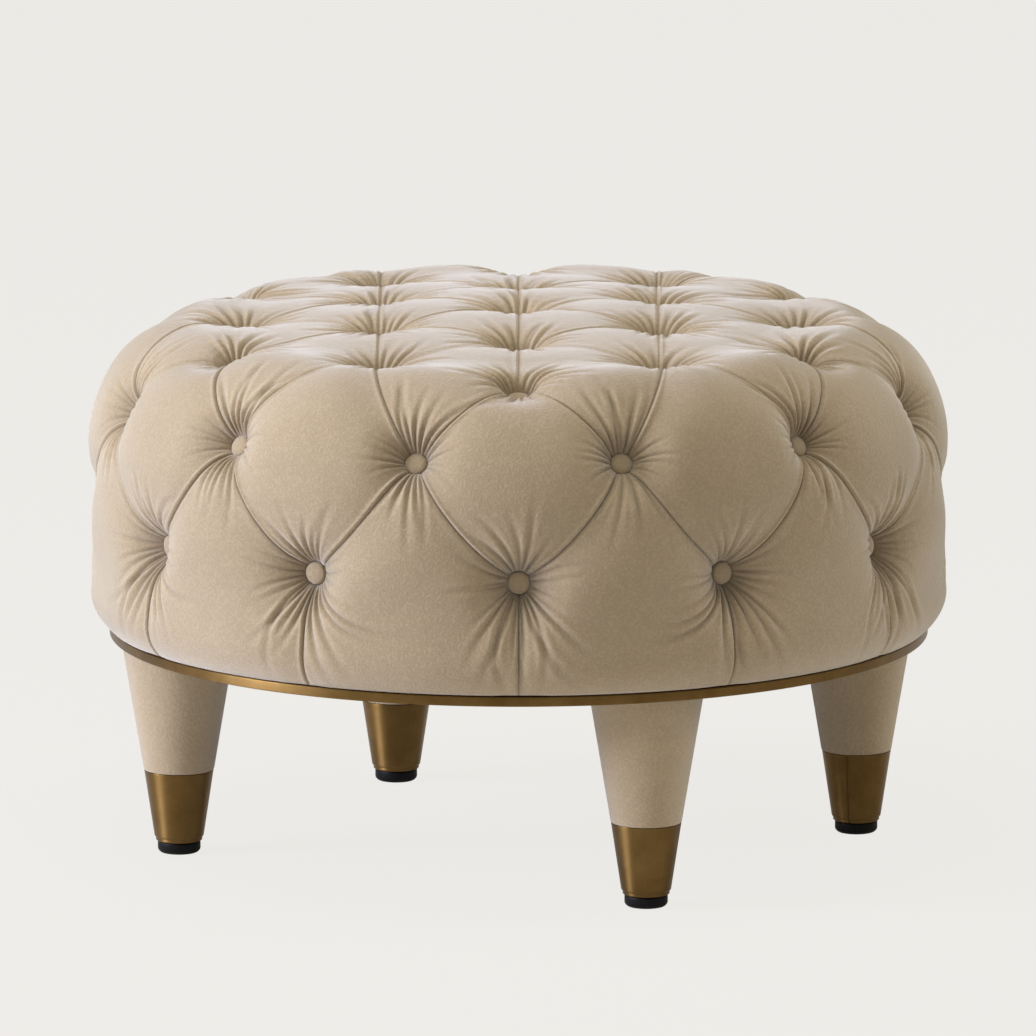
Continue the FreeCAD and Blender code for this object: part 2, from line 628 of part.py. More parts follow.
STAPLES = 36
staples = new_body("hem_staples")
profile = staples.newObject("Sketcher::SketchObject", "hem_staples_section")
profile.AttachmentSupport = [(origin_feature(staples, "YZ_Plane"), "")]
profile.MapMode = "FlatFace"
profile.setExpression("AttachmentOffset.Base.z", "Dims.staple_circle")
half, wire = "Dims.staple_width / 2", "Dims.staple_wire"
low, high = "Levels.hem_bottom", "Levels.base_bottom + Dims.staple_leg"
draw_polygon(profile, [
    ("-(%s)" % half, low), (half, low), (half, high), ("%s - %s" % (half, wire), high),
    ("%s - %s" % (half, wire), "%s + %s" % (low, wire)),
    ("-(%s - %s)" % (half, wire), "%s + %s" % (low, wire)),
    ("-(%s - %s)" % (half, wire), high), ("-(%s)" % half, high),
])
staple = staples.newObject("PartDesign::Pad", "hem_staples_pad")
staple.Profile = profile
staple.setExpression("Length", "Dims.staple_wire")
staples.Tip = staple
repeat(staples, staple, STAPLES)
keep(staples)

# Cover, wadding and foam

cover_hollow = cut("cover_hollow", cover_inside, pits_inside)
keep(cut("velvet_cover", cover_outside, pits_outside, cover_hollow, staples))
keep(cut("batting", batting_outside, batting_inside, pits_padding))
foam_pitted = cut("foam_pitted", foam_drum, pits_padding)
top_zone = cylinder("top_zone", "Dims.body_radius", "Dims.total_height", "Levels.foam_seat")
side_ring = cylinder("side_ring", "Dims.body_radius", "Levels.deck_top", "0")
side_core = cylinder("side_core", "Dims.hoop_radius + Dims.soft_gap", "Dims.total_height", "0")
side_zone = cut("side_zone", side_ring, side_core)
keep(common("foam_top", foam_pitted, top_zone))
keep(common("foam_side", foam_pitted, side_zone))

# Frame: deck on hoop and posts on the base board, plinth with its band below

deck_blank = cylinder("deck_blank", "Dims.hoop_radius", "Dims.deck_thickness", "Levels.deck_bottom")
keep(cut("deck_board", deck_blank, pits_padding, screw_holes["deck_screws"]))
hoop_outside = cylinder("hoop_outside", "Dims.hoop_radius", "Levels.deck_bottom - Levels.base_top",
                        "Levels.base_top")
hoop_hollow = cylinder("hoop_hollow", "Levels.hoop_inside", "Levels.deck_bottom", "Levels.base_top - 1")
keep(cut("side_hoop", hoop_outside, hoop_hollow, pits_padding))

POSTS, POST_TURN = 8, 37.5
for number in range(POSTS):
    turn = POST_TURN + 360.0 * number / POSTS
    box = doc.addObject("Part::Box", "post_blank_%d" % (number + 1))
    box.setExpression("Length", "Dims.post_depth")
    box.setExpression("Width", "Dims.post_width")
    box.setExpression("Height", "Levels.deck_bottom - Levels.base_top")
    box.Placement = FreeCAD.Placement(FreeCAD.Vector(), FreeCAD.Rotation(FreeCAD.Vector(0, 0, 1), turn))
    way = "(%s * 1 deg)" % turn
    box.setExpression("Placement.Base.x",
                      "Levels.post_in * cos(%s) + Dims.post_width / 2 * sin(%s)" % (way, way))
    box.setExpression("Placement.Base.y",
                      "Levels.post_in * sin(%s) - Dims.post_width / 2 * cos(%s)" % (way, way))
    box.setExpression("Placement.Base.z", "Levels.base_top")
    keep(cut("post_%d" % (number + 1), box, screw_holes["deck_screws"], screw_holes["base_screws"]))

base_blank = cylinder("base_blank", "Dims.base_radius", "Dims.base_thickness", "Levels.base_bottom")
keep(cut("base_board", base_blank, nut_holes, screw_holes["base_screws"], screw_holes["plinth_screws"],
         staples))
dust_blank = cylinder("dust_blank", "Levels.plinth_radius - Dims.dust_inset", "Dims.dust_cover_thickness",
                      "Levels.plinth_top")
keep(cut("dust_cover", dust_blank, bolt_holes, screw_holes["plinth_screws"]))
plinth_blank = cylinder("plinth_blank", "Levels.plinth_radius", "Dims.plinth_thickness", "Dims.leg_height")
keep(cut("plinth_board", plinth_blank, bolt_holes, screw_holes["plinth_screws"]))
keep(turned("brass_band", [
    ("Dims.ring_radius - Dims.band_wall", "Dims.leg_height"),
    ("Dims.ring_radius", "Dims.leg_height"),
    ("Dims.ring_radius", "Levels.plinth_top"),
    ("Dims.ring_radius - Dims.band_wall", "Levels.plinth_top"),
]))

# Check every object, then write one file per piece

doc.recompute()
faults = []
for obj in doc.Objects:
    if "Invalid" in obj.State or "Error" in obj.State:
        faults.append("%s: %s" % (obj.Name, obj.State))
for label, obj in ALL.items():
    if obj.Shape.isNull() or not obj.Shape.isValid() or not obj.Shape.Solids:
        faults.append("%s: no valid solid" % label)
if faults:
    raise RuntimeError("; ".join(faults))
os.makedirs("parts", exist_ok=True)
for label, obj in ALL.items():
    obj.Shape.exportStep("parts/%s.step" % label)
    print("%-24s %2d solids %12.0f mm3" % (label, len(obj.Shape.Solids), obj.Shape.Volume))
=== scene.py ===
import json
import math
from collections import namedtuple

import bpy
import numpy as np
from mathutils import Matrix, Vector


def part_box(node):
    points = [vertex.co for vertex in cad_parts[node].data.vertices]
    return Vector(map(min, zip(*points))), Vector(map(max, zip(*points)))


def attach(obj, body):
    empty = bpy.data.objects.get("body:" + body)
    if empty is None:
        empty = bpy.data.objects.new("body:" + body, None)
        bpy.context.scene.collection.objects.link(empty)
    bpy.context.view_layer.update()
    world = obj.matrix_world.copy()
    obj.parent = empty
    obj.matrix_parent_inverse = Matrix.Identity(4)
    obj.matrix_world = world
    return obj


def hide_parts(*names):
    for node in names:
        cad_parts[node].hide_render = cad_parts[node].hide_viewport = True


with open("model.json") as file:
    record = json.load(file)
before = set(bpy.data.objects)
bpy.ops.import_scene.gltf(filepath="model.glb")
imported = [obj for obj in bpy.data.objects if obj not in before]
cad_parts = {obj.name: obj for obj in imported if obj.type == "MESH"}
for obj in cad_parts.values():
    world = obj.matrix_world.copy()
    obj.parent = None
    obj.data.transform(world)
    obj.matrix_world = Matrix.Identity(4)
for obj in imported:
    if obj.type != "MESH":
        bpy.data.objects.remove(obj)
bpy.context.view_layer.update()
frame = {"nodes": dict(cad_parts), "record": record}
NODES = frame["nodes"]
ROOT = "ottoman"
TAU = 2 * math.pi

# Camera
EYE = (-0.0006, -13.0, 2.625)
PITCH = math.radians(10.269)
FOCAL_PX, FRAME_PX, SENSOR_MM, CLIP_END = 16150.3, 1036, 36.0, 200

# Crest of the upholstery, metres: crown, shoulder, wall, roll and hem
TOP, CROWN_R = 0.442, 6.0
SHOULDER_R, SHOULDER_C = 0.105, 0.245
WALL_R, ROLL_R, ROLL_Z = 0.350, 0.040, 0.2163
HEM_Z, HEM_IN = 0.1863, 0.3000
SHOULDER_START = math.asin(SHOULDER_C / (CROWN_R - SHOULDER_R))
SHOULDER_Z = TOP - CROWN_R + (CROWN_R - SHOULDER_R) * math.cos(SHOULDER_START)
ROLL_TURN = math.asin((ROLL_Z - HEM_Z) / ROLL_R)
HEM_R = WALL_R - ROLL_R + ROLL_R * math.cos(ROLL_TURN)

# Where each stretch of the crest begins, as arc length s from the axis
S_CROWN = CROWN_R * SHOULDER_START
S_WALL = S_CROWN + SHOULDER_R * (math.pi / 2 - SHOULDER_START)
S_ROLL = S_WALL + SHOULDER_Z - ROLL_Z
S_HEM = S_ROLL + ROLL_R * ROLL_TURN

# Buttons: their seat below the crest, their size, and the hole in the cover round each
SEAT, CORNER_SEAT = 0.0287, 0.0242
BUTTON_R, BUTTON_H = 0.0095, 0.0070
COVER_HOLE, HOLE_FLOOR_R, HOLE_DROP = 0.0100, 0.0072, 0.0006

# Cover's mesh: rings and rays of the grid round each button
RINGS, RAYS, RAY_POWER = 34, 28, 1.4
RING_EVEN, RING_GROW, RING_POWER = 0.55, 0.45, 2.2
HOLE_GUESS, HOLE_TRIES = 0.12, 6
WADDING_RINGS, WADDING_STEP = 9, 4


def ease(t):
    """0 to 1, with soft ends."""
    t = np.clip(t, 0, 1)
    return t * t * (3 - 2 * t)


def bell(x, width):
    return np.exp(-(x / width) ** 2)


def crest(s, turn):
    """Points and outward normals of the crest at arc length s from the axis and angle turn."""
    s = np.asarray(s, float)
    turn = np.asarray(turn, float)
    lean = np.where(s < S_CROWN, s / CROWN_R, SHOULDER_START + (s - S_CROWN) / SHOULDER_R)
    lean = np.where(s > S_WALL, math.pi / 2, lean)
    lean = np.where(s > S_ROLL, math.pi / 2 + (s - S_ROLL) / ROLL_R, lean)
    flat, upright = np.sin(lean), np.cos(lean)
    r = np.where(s < S_CROWN, CROWN_R * flat, SHOULDER_C + SHOULDER_R * flat)
    z = np.where(s < S_CROWN, TOP - CROWN_R * (1 - upright), SHOULDER_Z + SHOULDER_R * upright)
    r = np.where(s > S_WALL, WALL_R, r)
    z = np.where(s > S_WALL, SHOULDER_Z - (s - S_WALL), z)
    r = np.where(s > S_ROLL, WALL_R - ROLL_R + ROLL_R * flat, r)
    z = np.where(s > S_ROLL, ROLL_Z + ROLL_R * upright, z)
    point = np.stack([r * np.cos(turn), r * np.sin(turn), z], -1)
    normal = np.stack([flat * np.cos(turn), flat * np.sin(turn), upright], -1)
    return point, normal


# The tuft network
TUFT = 0.131
CORNER_LEAN, UPPER_LEAN, LOWER_Z = math.radians(12), math.radians(62.5), 0.276
S_RING = CROWN_R * math.asin(TUFT / CROWN_R)
S_EDGE = CROWN_R * math.asin(TUFT * math.sqrt(3) / CROWN_R)
S_CORNER = S_CROWN + SHOULDER_R * (CORNER_LEAN - SHOULDER_START)
S_UPPER = S_CROWN + SHOULDER_R * (UPPER_LEAN - SHOULDER_START)
S_LOWER = S_WALL + SHOULDER_Z - LOWER_Z

# Each family of buttons: arc length, first angle, count and step, in degrees
FAMILY = {
    "centre": (0.0, 0, 1, 360),
    "ring": (S_RING, 30, 6, 60),
    "edge": (S_EDGE, 0, 6, 60),
    "corner": (S_CORNER, 30, 6, 60),
    "upper": (S_UPPER, 15, 12, 30),
    "lower": (S_LOWER, 0, 12, 30),
}
TOP_FAMILIES = ("centre", "ring", "edge", "corner")
CREASED = {
    frozenset(pair) for pair in (
        ("centre", "ring"), ("ring",), ("ring", "corner"), ("ring", "edge"),
        ("edge", "upper"), ("corner", "upper"), ("upper", "lower"),
    )
}
Button = namedtuple("Button", "family index s turn")
NO_BUTTON = Button("none", 0, 0.0, 0.0)


def button(family, degrees):
    """A button by its family and angle. Its turn is in radians and isn't wrapped."""
    s, first, count, step = FAMILY[family]
    return Button(family, int(round((degrees - first) / step)) % count, s, math.radians(degrees))


BUTTONS = [
    button(family, first + k * step)
    for family, (_, first, count, step) in FAMILY.items()
    for k in range(count)
]


def on_crest(b):
    return crest(b.s, b.turn)


def seat_of(b):
    return CORNER_SEAT if b.family == "corner" else SEAT


def triangles():
    """(kind, buttons, cell) over the whole cover. The cells are the pillows between the creases."""
    out = []
    for k in range(6):
        a = 60 * k
        ring, ring2 = button("ring", a - 30), button("ring", a + 30)
        edge = button("edge", a)
        out.append(("flat", (button("centre", 0), ring, ring2), ("in", k)))
        out.append(("flat", (edge, ring2, ring), ("out", k)))
        for side in (-1, 1):
            near, corner = button("ring", a + 30 * side), button("corner", a + 30 * side)
            upper = button("upper", a + 15 * side)
            cell = ("kite", k, side)
            out.append(("flat", (near, edge, corner), cell))
            out.append(("brow", (edge, corner, upper), cell))
        for family, turn in (("edge", a), ("corner", a + 30)):
            left, right = button("upper", turn - 15), button("upper", turn + 15)
            cell = ("diamond", turn)
            out.append(("side", (button(family, turn), left, right), cell))
            out.append(("side", (button("lower", turn), right, left), cell))
        for turn in (a + 15, a + 45):
            low, high = button("lower", turn - 15), button("lower", turn + 15)
            cell = ("skirt", turn)
            out.append(("side", (button("upper", turn), low, high), cell))
            out.append(("skirt", (low, high), cell))
    return out


# Creases between the two rows of the side sag, mostly down and a little across
SAG, SAG_DOWN, SAG_ACROSS = 0.0085, 0.72, 0.69


def polar(b):
    return b.s * np.array([math.cos(b.turn), math.sin(b.turn)])


def place(kind, corners, w):
    """(s, turn) of barycentric weights w in one triangle."""
    if kind == "flat":
        p = sum(w[..., i, None] * polar(c) for i, c in enumerate(corners))
        return np.hypot(p[..., 0], p[..., 1]), np.arctan2(p[..., 1], p[..., 0])
    s = sum(w[..., i] * c.s for i, c in enumerate(corners))
    turn = sum(w[..., i] * c.turn for i, c in enumerate(corners))
    if kind == "brow":
        a, b = corners[0], corners[1]
        rest = np.maximum(w[..., 0] + w[..., 1], 1e-9)
        t = w[..., 1] / rest
        chord = (1 - t)[..., None] * polar(a) + t[..., None] * polar(b)
        chord_s = np.hypot(chord[..., 0], chord[..., 1])
        chord_turn = np.arctan2(chord[..., 1], chord[..., 0])
        plain_s, plain_turn = (1 - t) * a.s + t * b.s, (1 - t) * a.turn + t * b.turn
        chord_turn = chord_turn + TAU * np.round((plain_turn - chord_turn) / TAU)
        s = s + rest * (chord_s - plain_s)
        turn = turn + rest * (chord_turn - plain_turn)
    for i, high in enumerate(corners):
        for j, low in enumerate(corners):
            if high.family == "upper" and low.family == "lower":
                bow = 4 * w[..., i] * w[..., j] * SAG
                s = s + SAG_DOWN * bow
                turn = turn - SAG_ACROSS * bow / WALL_R * np.sign(low.turn - high.turn)
    return s, turn


def crease_line(a, b, count=25, hem_count=33):
    """Points along the crease from button a to button b, or down to the hem where b is None."""
    if b is None:
        return crest(np.linspace(a.s, S_HEM, hem_count), np.full(hem_count, a.turn))[0]
    t = np.linspace(0, 1, count)
    w = np.stack([1 - t, t, 0 * t], -1)
    if {a.family, b.family} <= set(TOP_FAMILIES):
        s, turn = place("flat", (a, b, a), w)
    else:
        s, turn = place("side", (a, b, NO_BUTTON), w)
    return crest(s, turn)[0]


def near_distance(points, line):
    """Distance of each point to a polyline."""
    best = np.full(len(points), 1e9)
    for a, b in zip(line, line[1:]):
        ab = b - a
        t = np.clip(((points - a) @ ab) / (ab @ ab), 0, 1)
        best = np.minimum(best, ((points - a - t[:, None] * ab) ** 2).sum(1))
    return np.sqrt(best)


# Depth of a crease below the crest by distance from its button, on the side and on the flatter top
DEPTH_AT = np.array([0, 9.0, 10, 12, 15, 20, 26, 33, 42, 52, 65, 85, 130]) / 1000
DEPTH_SIDE = np.array(
    [29, 28.2, 27, 24.2, 20.8, 16.4, 12.4, 9.2, 6.6, 5.0, 3.8, 3.1, 2.8]) / 1000
DEPTH_TOP = np.array(
    [29, 28.2, 25.8, 20.6, 14.8, 8.8, 5.0, 2.6, 1.0, 0.0, -0.6, -1.0, -1.0]) / 1000
SIDE_FROM, SIDE_OVER = 0.255, 0.130

# Extra rise of the pillows towards the middle of the top
DOME, DOME_R, DOME_LEAST = 0.0050, 0.155, -0.9
DOME_END_FROM, DOME_END_OVER = 0.22, 0.06


def side_share(s):
    """0 on the top, 1 on the side."""
    return ease((s - SIDE_FROM) / SIDE_OVER)


def dome(s):
    rise = DOME * np.clip(1 - (s / DOME_R) ** 2, DOME_LEAST, 1)
    return rise * (1 - ease((s - DOME_END_FROM) / DOME_END_OVER))


def crease_depth(rho, side):
    flat = np.interp(rho, DEPTH_AT, DEPTH_TOP)
    return flat + side * (np.interp(rho, DEPTH_AT, DEPTH_SIDE) - flat)


def spans(around):
    """The creases round a cell: pairs of buttons, or a button and None for a line to the hem."""
    out = []
    for a, b in zip(around, around[1:] + around[:1]):
        if a.family == b.family == "lower":
            out += [(a, None), (b, None)]
        elif frozenset((a.family, b.family)) in CREASED:
            out.append((a, b))
    return out


def cell_corners(members):
    """A cell's buttons in order round it."""
    found = {}
    for _, corners, _ in members:
        for c in corners:
            found.setdefault((c.family, c.index), c)
    buttons = list(found.values())
    places = [on_crest(c)[0] for c in buttons]
    mid = np.mean(places, axis=0)
    up = mid / np.linalg.norm(mid)
    ref = np.cross([0.3, 0.5, 0.8], up)
    ref /= np.linalg.norm(ref)
    other = np.cross(up, ref)
    angle = [math.atan2((p - mid) @ other, (p - mid) @ ref) for p in places]
    return [buttons[i] for i in np.argsort(angle)]


# Fans of small folds round a button: middle and width in degrees, angle 0 is up the crest,
# count, depth and length in mm, and the share of a step by which a fold is shaken
FANS = {
    "upper": [
        (0, 68, 5, 3.3, 74, 0.22), (180, 66, 5, 3.1, 66, 0.22),
        (90, 74, 4, 1.7, 42, 0.3), (270, 74, 4, 1.7, 42, 0.3),
    ],
    "lower": [
        (0, 68, 5, 3.1, 62, 0.22), (207, 48, 4, 3.2, 92, 0.22), (153, 48, 4, 3.2, 92, 0.22),
        (90, 74, 4, 1.8, 50, 0.3), (270, 74, 4, 1.8, 50, 0.3),
    ],
    "corner": [
        (-50, 84, 4, 2.8, 60, 0.22), (-104, 24, 2, 2.0, 40, 0.22),
        (50, 84, 4, 2.8, 60, 0.22), (104, 24, 2, 2.0, 40, 0.22),
        (180, 70, 4, 2.6, 30, 0.22),
    ],
    "edge": [
        (0, 48, 3, 2.6, 56, 0.22), (90, 104, 5, 2.6, 58, 0.22),
        (270, 104, 5, 2.6, 58, 0.22), (180, 48, 4, 2.4, 48, 0.22),
    ],
    "ring": [(30 + 60 * k, 48, 3, 2.7, 56, 0.22) for k in range(6)],
}
FANS["centre"] = FANS["ring"]
FOLD_SEED = {
    "centre": 4100, "ring": 4110, "edge": 4130, "corner": 4150, "upper": 4170, "lower": 4200}
FOLD_DEPTHS, FOLD_LENGTHS = (0.7, 1.15), (0.72, 1.12)
FOLD_REACH, FOLD_INNER, FOLD_BEND, FOLD_NEAR = 0.115, 0.008, 0.25, 1.2
BEND_FROM, BEND_OVER, BEND_MOST, BEND_POWER = 0.012, 0.05, 1.8, 1.3
FOLD_WIDTH, FOLD_SPREAD_SIDE, FOLD_SPREAD_TOP = 0.0006, 0.034, 0.050
FOLD_RISE, FOLD_LEAST, FOLD_SHARP = 0.005, 0.25, 1.35
RIDGE, RIDGE_AT, RIDGE_WIDTH = 0.45, 2.1, 1.1


def fold_list(b):
    """Small folds fanning out of a button: (angle, depth, length, bend)."""
    rng = np.random.default_rng(FOLD_SEED[b.family] + b.index)
    folds = []
    for middle, width, count, depth, length, shake in FANS[b.family]:
        step = width / count
        for k in range(count):
            angle = middle - width / 2 + (k + 0.5) * step + rng.uniform(-shake, shake) * step
            folds.append((
                math.radians(angle), depth * rng.uniform(*FOLD_DEPTHS) / 1000,
                length * rng.uniform(*FOLD_LENGTHS) / 1000, rng.uniform(-FOLD_BEND, FOLD_BEND),
            ))
    return folds


def from_axis(points, b):
    """Offsets of points from a button's axis, square to it, and their lengths."""
    at, axis = on_crest(b)
    rel = points - at
    flat = rel - (rel @ axis)[:, None] * axis
    return flat, np.linalg.norm(flat, axis=1)


def square_to(axis, direction):
    flat = np.array(direction) - (np.array(direction) @ axis) * axis
    return flat / np.linalg.norm(flat)


def add_folds(points, b, out):
    """Adds the valleys of a button's folds to the depths of the points near it."""
    flat, rho = from_axis(points, b)
    reach = rho < FOLD_REACH
    if not reach.any():
        return
    axis = on_crest(b)[1]
    inward = [-math.cos(b.turn), -math.sin(b.turn), 0.0]
    up = square_to(axis, inward if axis[2] > 0.5 else [0.0, 0.0, 1.0])
    right = np.cross(up, axis)
    r = rho[reach]
    phi = np.arctan2(flat[reach] @ right, flat[reach] @ up)
    spread = FOLD_SPREAD_TOP if b.family in TOP_FAMILIES else FOLD_SPREAD_SIDE
    width = FOLD_WIDTH + spread * r
    rise = np.clip((r - BUTTON_R) / FOLD_RISE, FOLD_LEAST, 1)
    bent = np.clip((r - BEND_FROM) / BEND_OVER, 0, BEND_MOST) ** BEND_POWER
    total = np.zeros(len(r))
    for angle, depth, length, bend in fold_list(b):
        turned = phi - angle - bend * bent
        turned = np.arctan2(np.sin(turned), np.cos(turned))
        across = np.abs(turned * np.maximum(r, FOLD_INNER)) / width
        fade = np.clip(1 - (r - BUTTON_R) / length, 0, 1)
        shape = np.exp(-across ** FOLD_SHARP) - RIDGE * bell(across - RIDGE_AT, RIDGE_WIDTH)
        total += np.where(np.abs(turned) < FOLD_NEAR, depth * fade * rise * shape, 0)
    out[reach] += total


def smooth_noise(points, scale, seed, waves=7):
    """Soft value noise of a few sine waves, about -1 to 1."""
    rng = np.random.default_rng(seed)
    total = np.zeros(len(points))
    for _ in range(waves):
        wave = rng.normal(size=3)
        wave *= rng.uniform(0.7, 1.4) / scale / np.linalg.norm(wave)
        total += np.sin(points @ wave * TAU + rng.uniform(0, TAU))
    return total / 3.2


# Extra depth below a corner button, where the top turns down and the pit's lip falls away
OPEN_LIP, OPEN_AT, OPEN_WIDTH, OPEN_POWER = 0.0065, 0.026, 0.016, 4
CORNER_LIFT_R = 0.022


def open_lip(points, b):
    down = square_to(on_crest(b)[1], [math.cos(b.turn), math.sin(b.turn), 0.0])
    flat, rho = from_axis(points, b)
    rho = np.maximum(rho, 1e-6)
    facing = np.clip((flat @ down) / rho, 0, 1)
    return OPEN_LIP * bell(rho - OPEN_AT, OPEN_WIDTH) * facing ** OPEN_POWER


# Pillows by kind of cell, mm: rise between the creases, the room at which it is full,
# and how far the pillow then stands proud of the crest
PUFF = {"in": 1.6, "out": 1.6, "kite": 2.1, "diamond": 6.2, "skirt": 5.8}
FULL = {"in": 32, "out": 32, "kite": 38, "diamond": 48, "skirt": 48}
PROUD = {"in": 0.6, "out": 0.6, "kite": 0.3, "diamond": 0.8, "skirt": 0.6}
PUFF_POWER = 1.75
SKIRT_PROUD, SKIRT_PROUD_Z, SKIRT_PROUD_OVER = 0.0042, 0.296, 0.036
BROW_PROUD, BROW_PROUD_Z, BROW_PROUD_OVER = 0.0026, 0.405, 0.030

# The sharp line of a crease, the lips beside it, and the knee where a pillow meets the crest
LINE, LINE_WIDTH, LINE_SHARP, LINE_TOP, LINE_HEM = 0.0015, 0.0006, 1.2, 0.28, 1.6
LIP, LIP_AT, LIP_WIDTH, LIP_TOP = 0.0013, 0.0024, 0.0015, 0.6
LOW_LIP, LOW_LIP_AT, LOW_LIP_WIDTH = 0.3, 0.0040, 0.0024
LIP_FROM, LIP_OVER, LIP_LEAST = 0.008, 0.012, 0.3
KNEE, KNEE_SET, LEAST_GAP = 0.0030, 0.22, 2e-5
FOLD_CLEAR, WAVER, WAVER_SCALE, WAVER_CLEAR = 0.0022, 0.0006, 0.085, 0.01

# Painted shade in the velvet's colour, 0 to 1: at rest, and added in pits, folds and creases where
# shade falls; fold ridges drop below rest for a painted highlight
PAINTED_SHADE_REST, PAINTED_SHADE_PIT, PAINTED_SHADE_FOLD, PAINTED_SHADE_CREASE = 0.15, 0.55, 0.32, 0.35
PIT_FROM, PIT_OVER, FOLD_FULL, RIDGE_LEAST, CREASE_WIDTH = 0.003, 0.022, 0.0022, -0.5, 0.0009


def is_upper_fold(cell, a, b):
    """Whether this cell's edge is the upper fold of the crease."""
    if cell[0] == "diamond":
        return True
    if b is None:
        return a.turn > math.radians(cell[1])
    families = {a.family, b.family}
    if cell[0] == "in":
        return "centre" not in families or cell[1] in (a.index, b.index)
    if cell[0] == "kite":
        return families == {"ring", "edge"} or cell[2] > 0 and families == {"ring", "corner"}
    return False


def line_share(kind, a, b):
    """Strength of a crease's line: faint on the top, strong down to the hem."""
    if b is None:
        return LINE_HEM
    return 1 if kind in ("diamond", "skirt") or "upper" in (a.family, b.family) else LINE_TOP


def cover_depths(points, s, cell, edges, near_buttons):
    """Depth of a cell's points below the crest, and the shade painted there: darker in pits, folds and
    creases, lighter on fold ridges.
    """
    kind = cell[0]
    side = side_share(s)
    weight, blend, tight = 0, 0, 0
    lips, crease_shade_mask = np.zeros(len(points)), np.zeros(len(points))
    rise = LIP * (LIP_TOP + (1 - LIP_TOP) * side)
    for a, b in edges:
        c = np.maximum(near_distance(points, crease_line(a, b)), LEAST_GAP)
        ends = [a] if b is None else [a, b]
        rho = np.min([np.linalg.norm(points - on_crest(x)[0], axis=1) for x in ends], axis=0)
        weight = weight + c ** -2
        blend = blend + c ** -2 * crease_depth(rho, side)
        tight = tight + c ** -3
        size = np.clip((rho - LIP_FROM) / LIP_OVER, LIP_LEAST, 1)
        share = line_share(kind, a, b)
        lips += size * share * LINE * np.exp(-(c / LINE_WIDTH) ** LINE_SHARP)
        crease_shade_mask = np.maximum(crease_shade_mask, share * bell(c, CREASE_WIDTH))
        if is_upper_fold(cell, a, b):
            lips -= size * rise * bell(c - LIP_AT, LIP_WIDTH)
        else:
            lips -= size * LOW_LIP * rise * bell(c - LOW_LIP_AT, LOW_LIP_WIDTH)
    room = tight ** (-1 / 3)
    share = np.clip(room / (FULL[kind] / 1000), 0, 1)
    free = blend / weight - PUFF[kind] / 1000 * (1 - (1 - share) ** PUFF_POWER)
    held = 0.5 * (free + np.sqrt(free ** 2 + KNEE ** 2)) - KNEE_SET * KNEE
    depth = free + side * (held - free) + lips
    depth = depth - dome(s) * (1 - np.clip(depth / DEPTH_TOP[0], 0, 1))
    proud = PROUD[kind] / 1000
    if kind == "skirt":
        proud = proud + SKIRT_PROUD * bell(points[:, 2] - SKIRT_PROUD_Z, SKIRT_PROUD_OVER)
    if kind == "diamond" and cell[1] % 60 == 0:
        proud = proud + BROW_PROUD * bell(points[:, 2] - BROW_PROUD_Z, BROW_PROUD_OVER)
    depth = depth - proud * ease(share)
    folds = np.zeros(len(points))
    for b in near_buttons:
        if b.family == "corner":
            away = np.linalg.norm(points - on_crest(b)[0], axis=1)
            depth = depth + open_lip(points, b) - (SEAT - CORNER_SEAT) * bell(away, CORNER_LIFT_R)
        add_folds(points, b, folds)
    folds = folds * (1 - bell(room, FOLD_CLEAR))
    waver = WAVER * smooth_noise(points, WAVER_SCALE, 7) * np.clip(room / WAVER_CLEAR, 0, 1)
    depth = depth + folds + waver
    # Painted shade: darker with depth in the pits, in fold valleys and along crease lines; lighter on
    # fold ridges
    painted_shade = PAINTED_SHADE_REST + PAINTED_SHADE_PIT * np.clip((depth - PIT_FROM) / PIT_OVER, 0, 1)
    painted_shade = painted_shade + PAINTED_SHADE_FOLD * np.clip(folds / FOLD_FULL, RIDGE_LEAST, 1)
    painted_shade = painted_shade + PAINTED_SHADE_CREASE * crease_shade_mask
    return depth, np.clip(painted_shade, 0, 1)


def sector_weights(which):
    """Barycentric weights of one corner of a triangle, and of the ends of the rays of its share."""
    h = (np.arange(RAYS + 1) / RAYS) ** RAY_POWER
    mid_b, mid_c, centre = np.zeros(3), np.zeros(3), np.full(3, 1 / 3)
    mid_b[[which, (which + 1) % 3]] = 0.5
    mid_c[[which, (which + 2) % 3]] = 0.5
    first = mid_b + h[:, None] * (centre - mid_b)
    second = mid_c + h[::-1][1:, None] * (centre - mid_c)
    start = np.zeros(3)
    start[which] = 1
    return start, np.concatenate([first, second])


def sector_grid(kind, corners, which, rings):
    """(s, turn) of a polar grid round one button inside one triangle: rays by rings."""
    if kind == "skirt":
        low = corners[which]
        h = (np.arange(RAYS + 1) / RAYS) ** RAY_POWER
        mid = 0.5 * (corners[0].turn + corners[1].turn)
        down = np.stack([S_LOWER + h * (S_HEM - S_LOWER), np.full(RAYS + 1, mid)], -1)
        along = np.stack([np.full(RAYS, S_HEM), low.turn + h[::-1][1:] * (mid - low.turn)], -1)
        start, ends = np.array([low.s, low.turn]), np.concatenate([down, along])
    else:
        start, ends = sector_weights(which)

    def at(f):
        p = start + f[..., None] * (ends[:, None] - start)
        return (p[..., 0], p[..., 1]) if kind == "skirt" else place(kind, corners, p)

    centre, axis = on_crest(corners[which])
    hole = np.full((len(ends), 1), HOLE_GUESS)
    for _ in range(HOLE_TRIES):
        p = crest(*at(hole))[0] - centre
        p = p - (p @ axis)[..., None] * axis
        hole = hole * COVER_HOLE / np.linalg.norm(p, axis=-1)
    v = np.linspace(0, 1, rings + 1)
    return at(hole + (1 - hole) * (RING_EVEN * v + RING_GROW * v ** RING_POWER))


def quad_faces(rows, columns):
    i = np.arange(rows - 1)[:, None] * columns + np.arange(columns - 1)[None, :]
    return np.stack([i, i + 1, i + columns + 1, i + columns], -1).reshape(-1, 4)


def weld(points, faces):
    """Index of the first of every set of points that coincide, and the faces over those."""
    keys = np.round(points * 1e6).astype(np.int64)
    _, first, inverse = np.unique(keys, axis=0, return_index=True, return_inverse=True)
    return first, inverse.ravel()[faces]


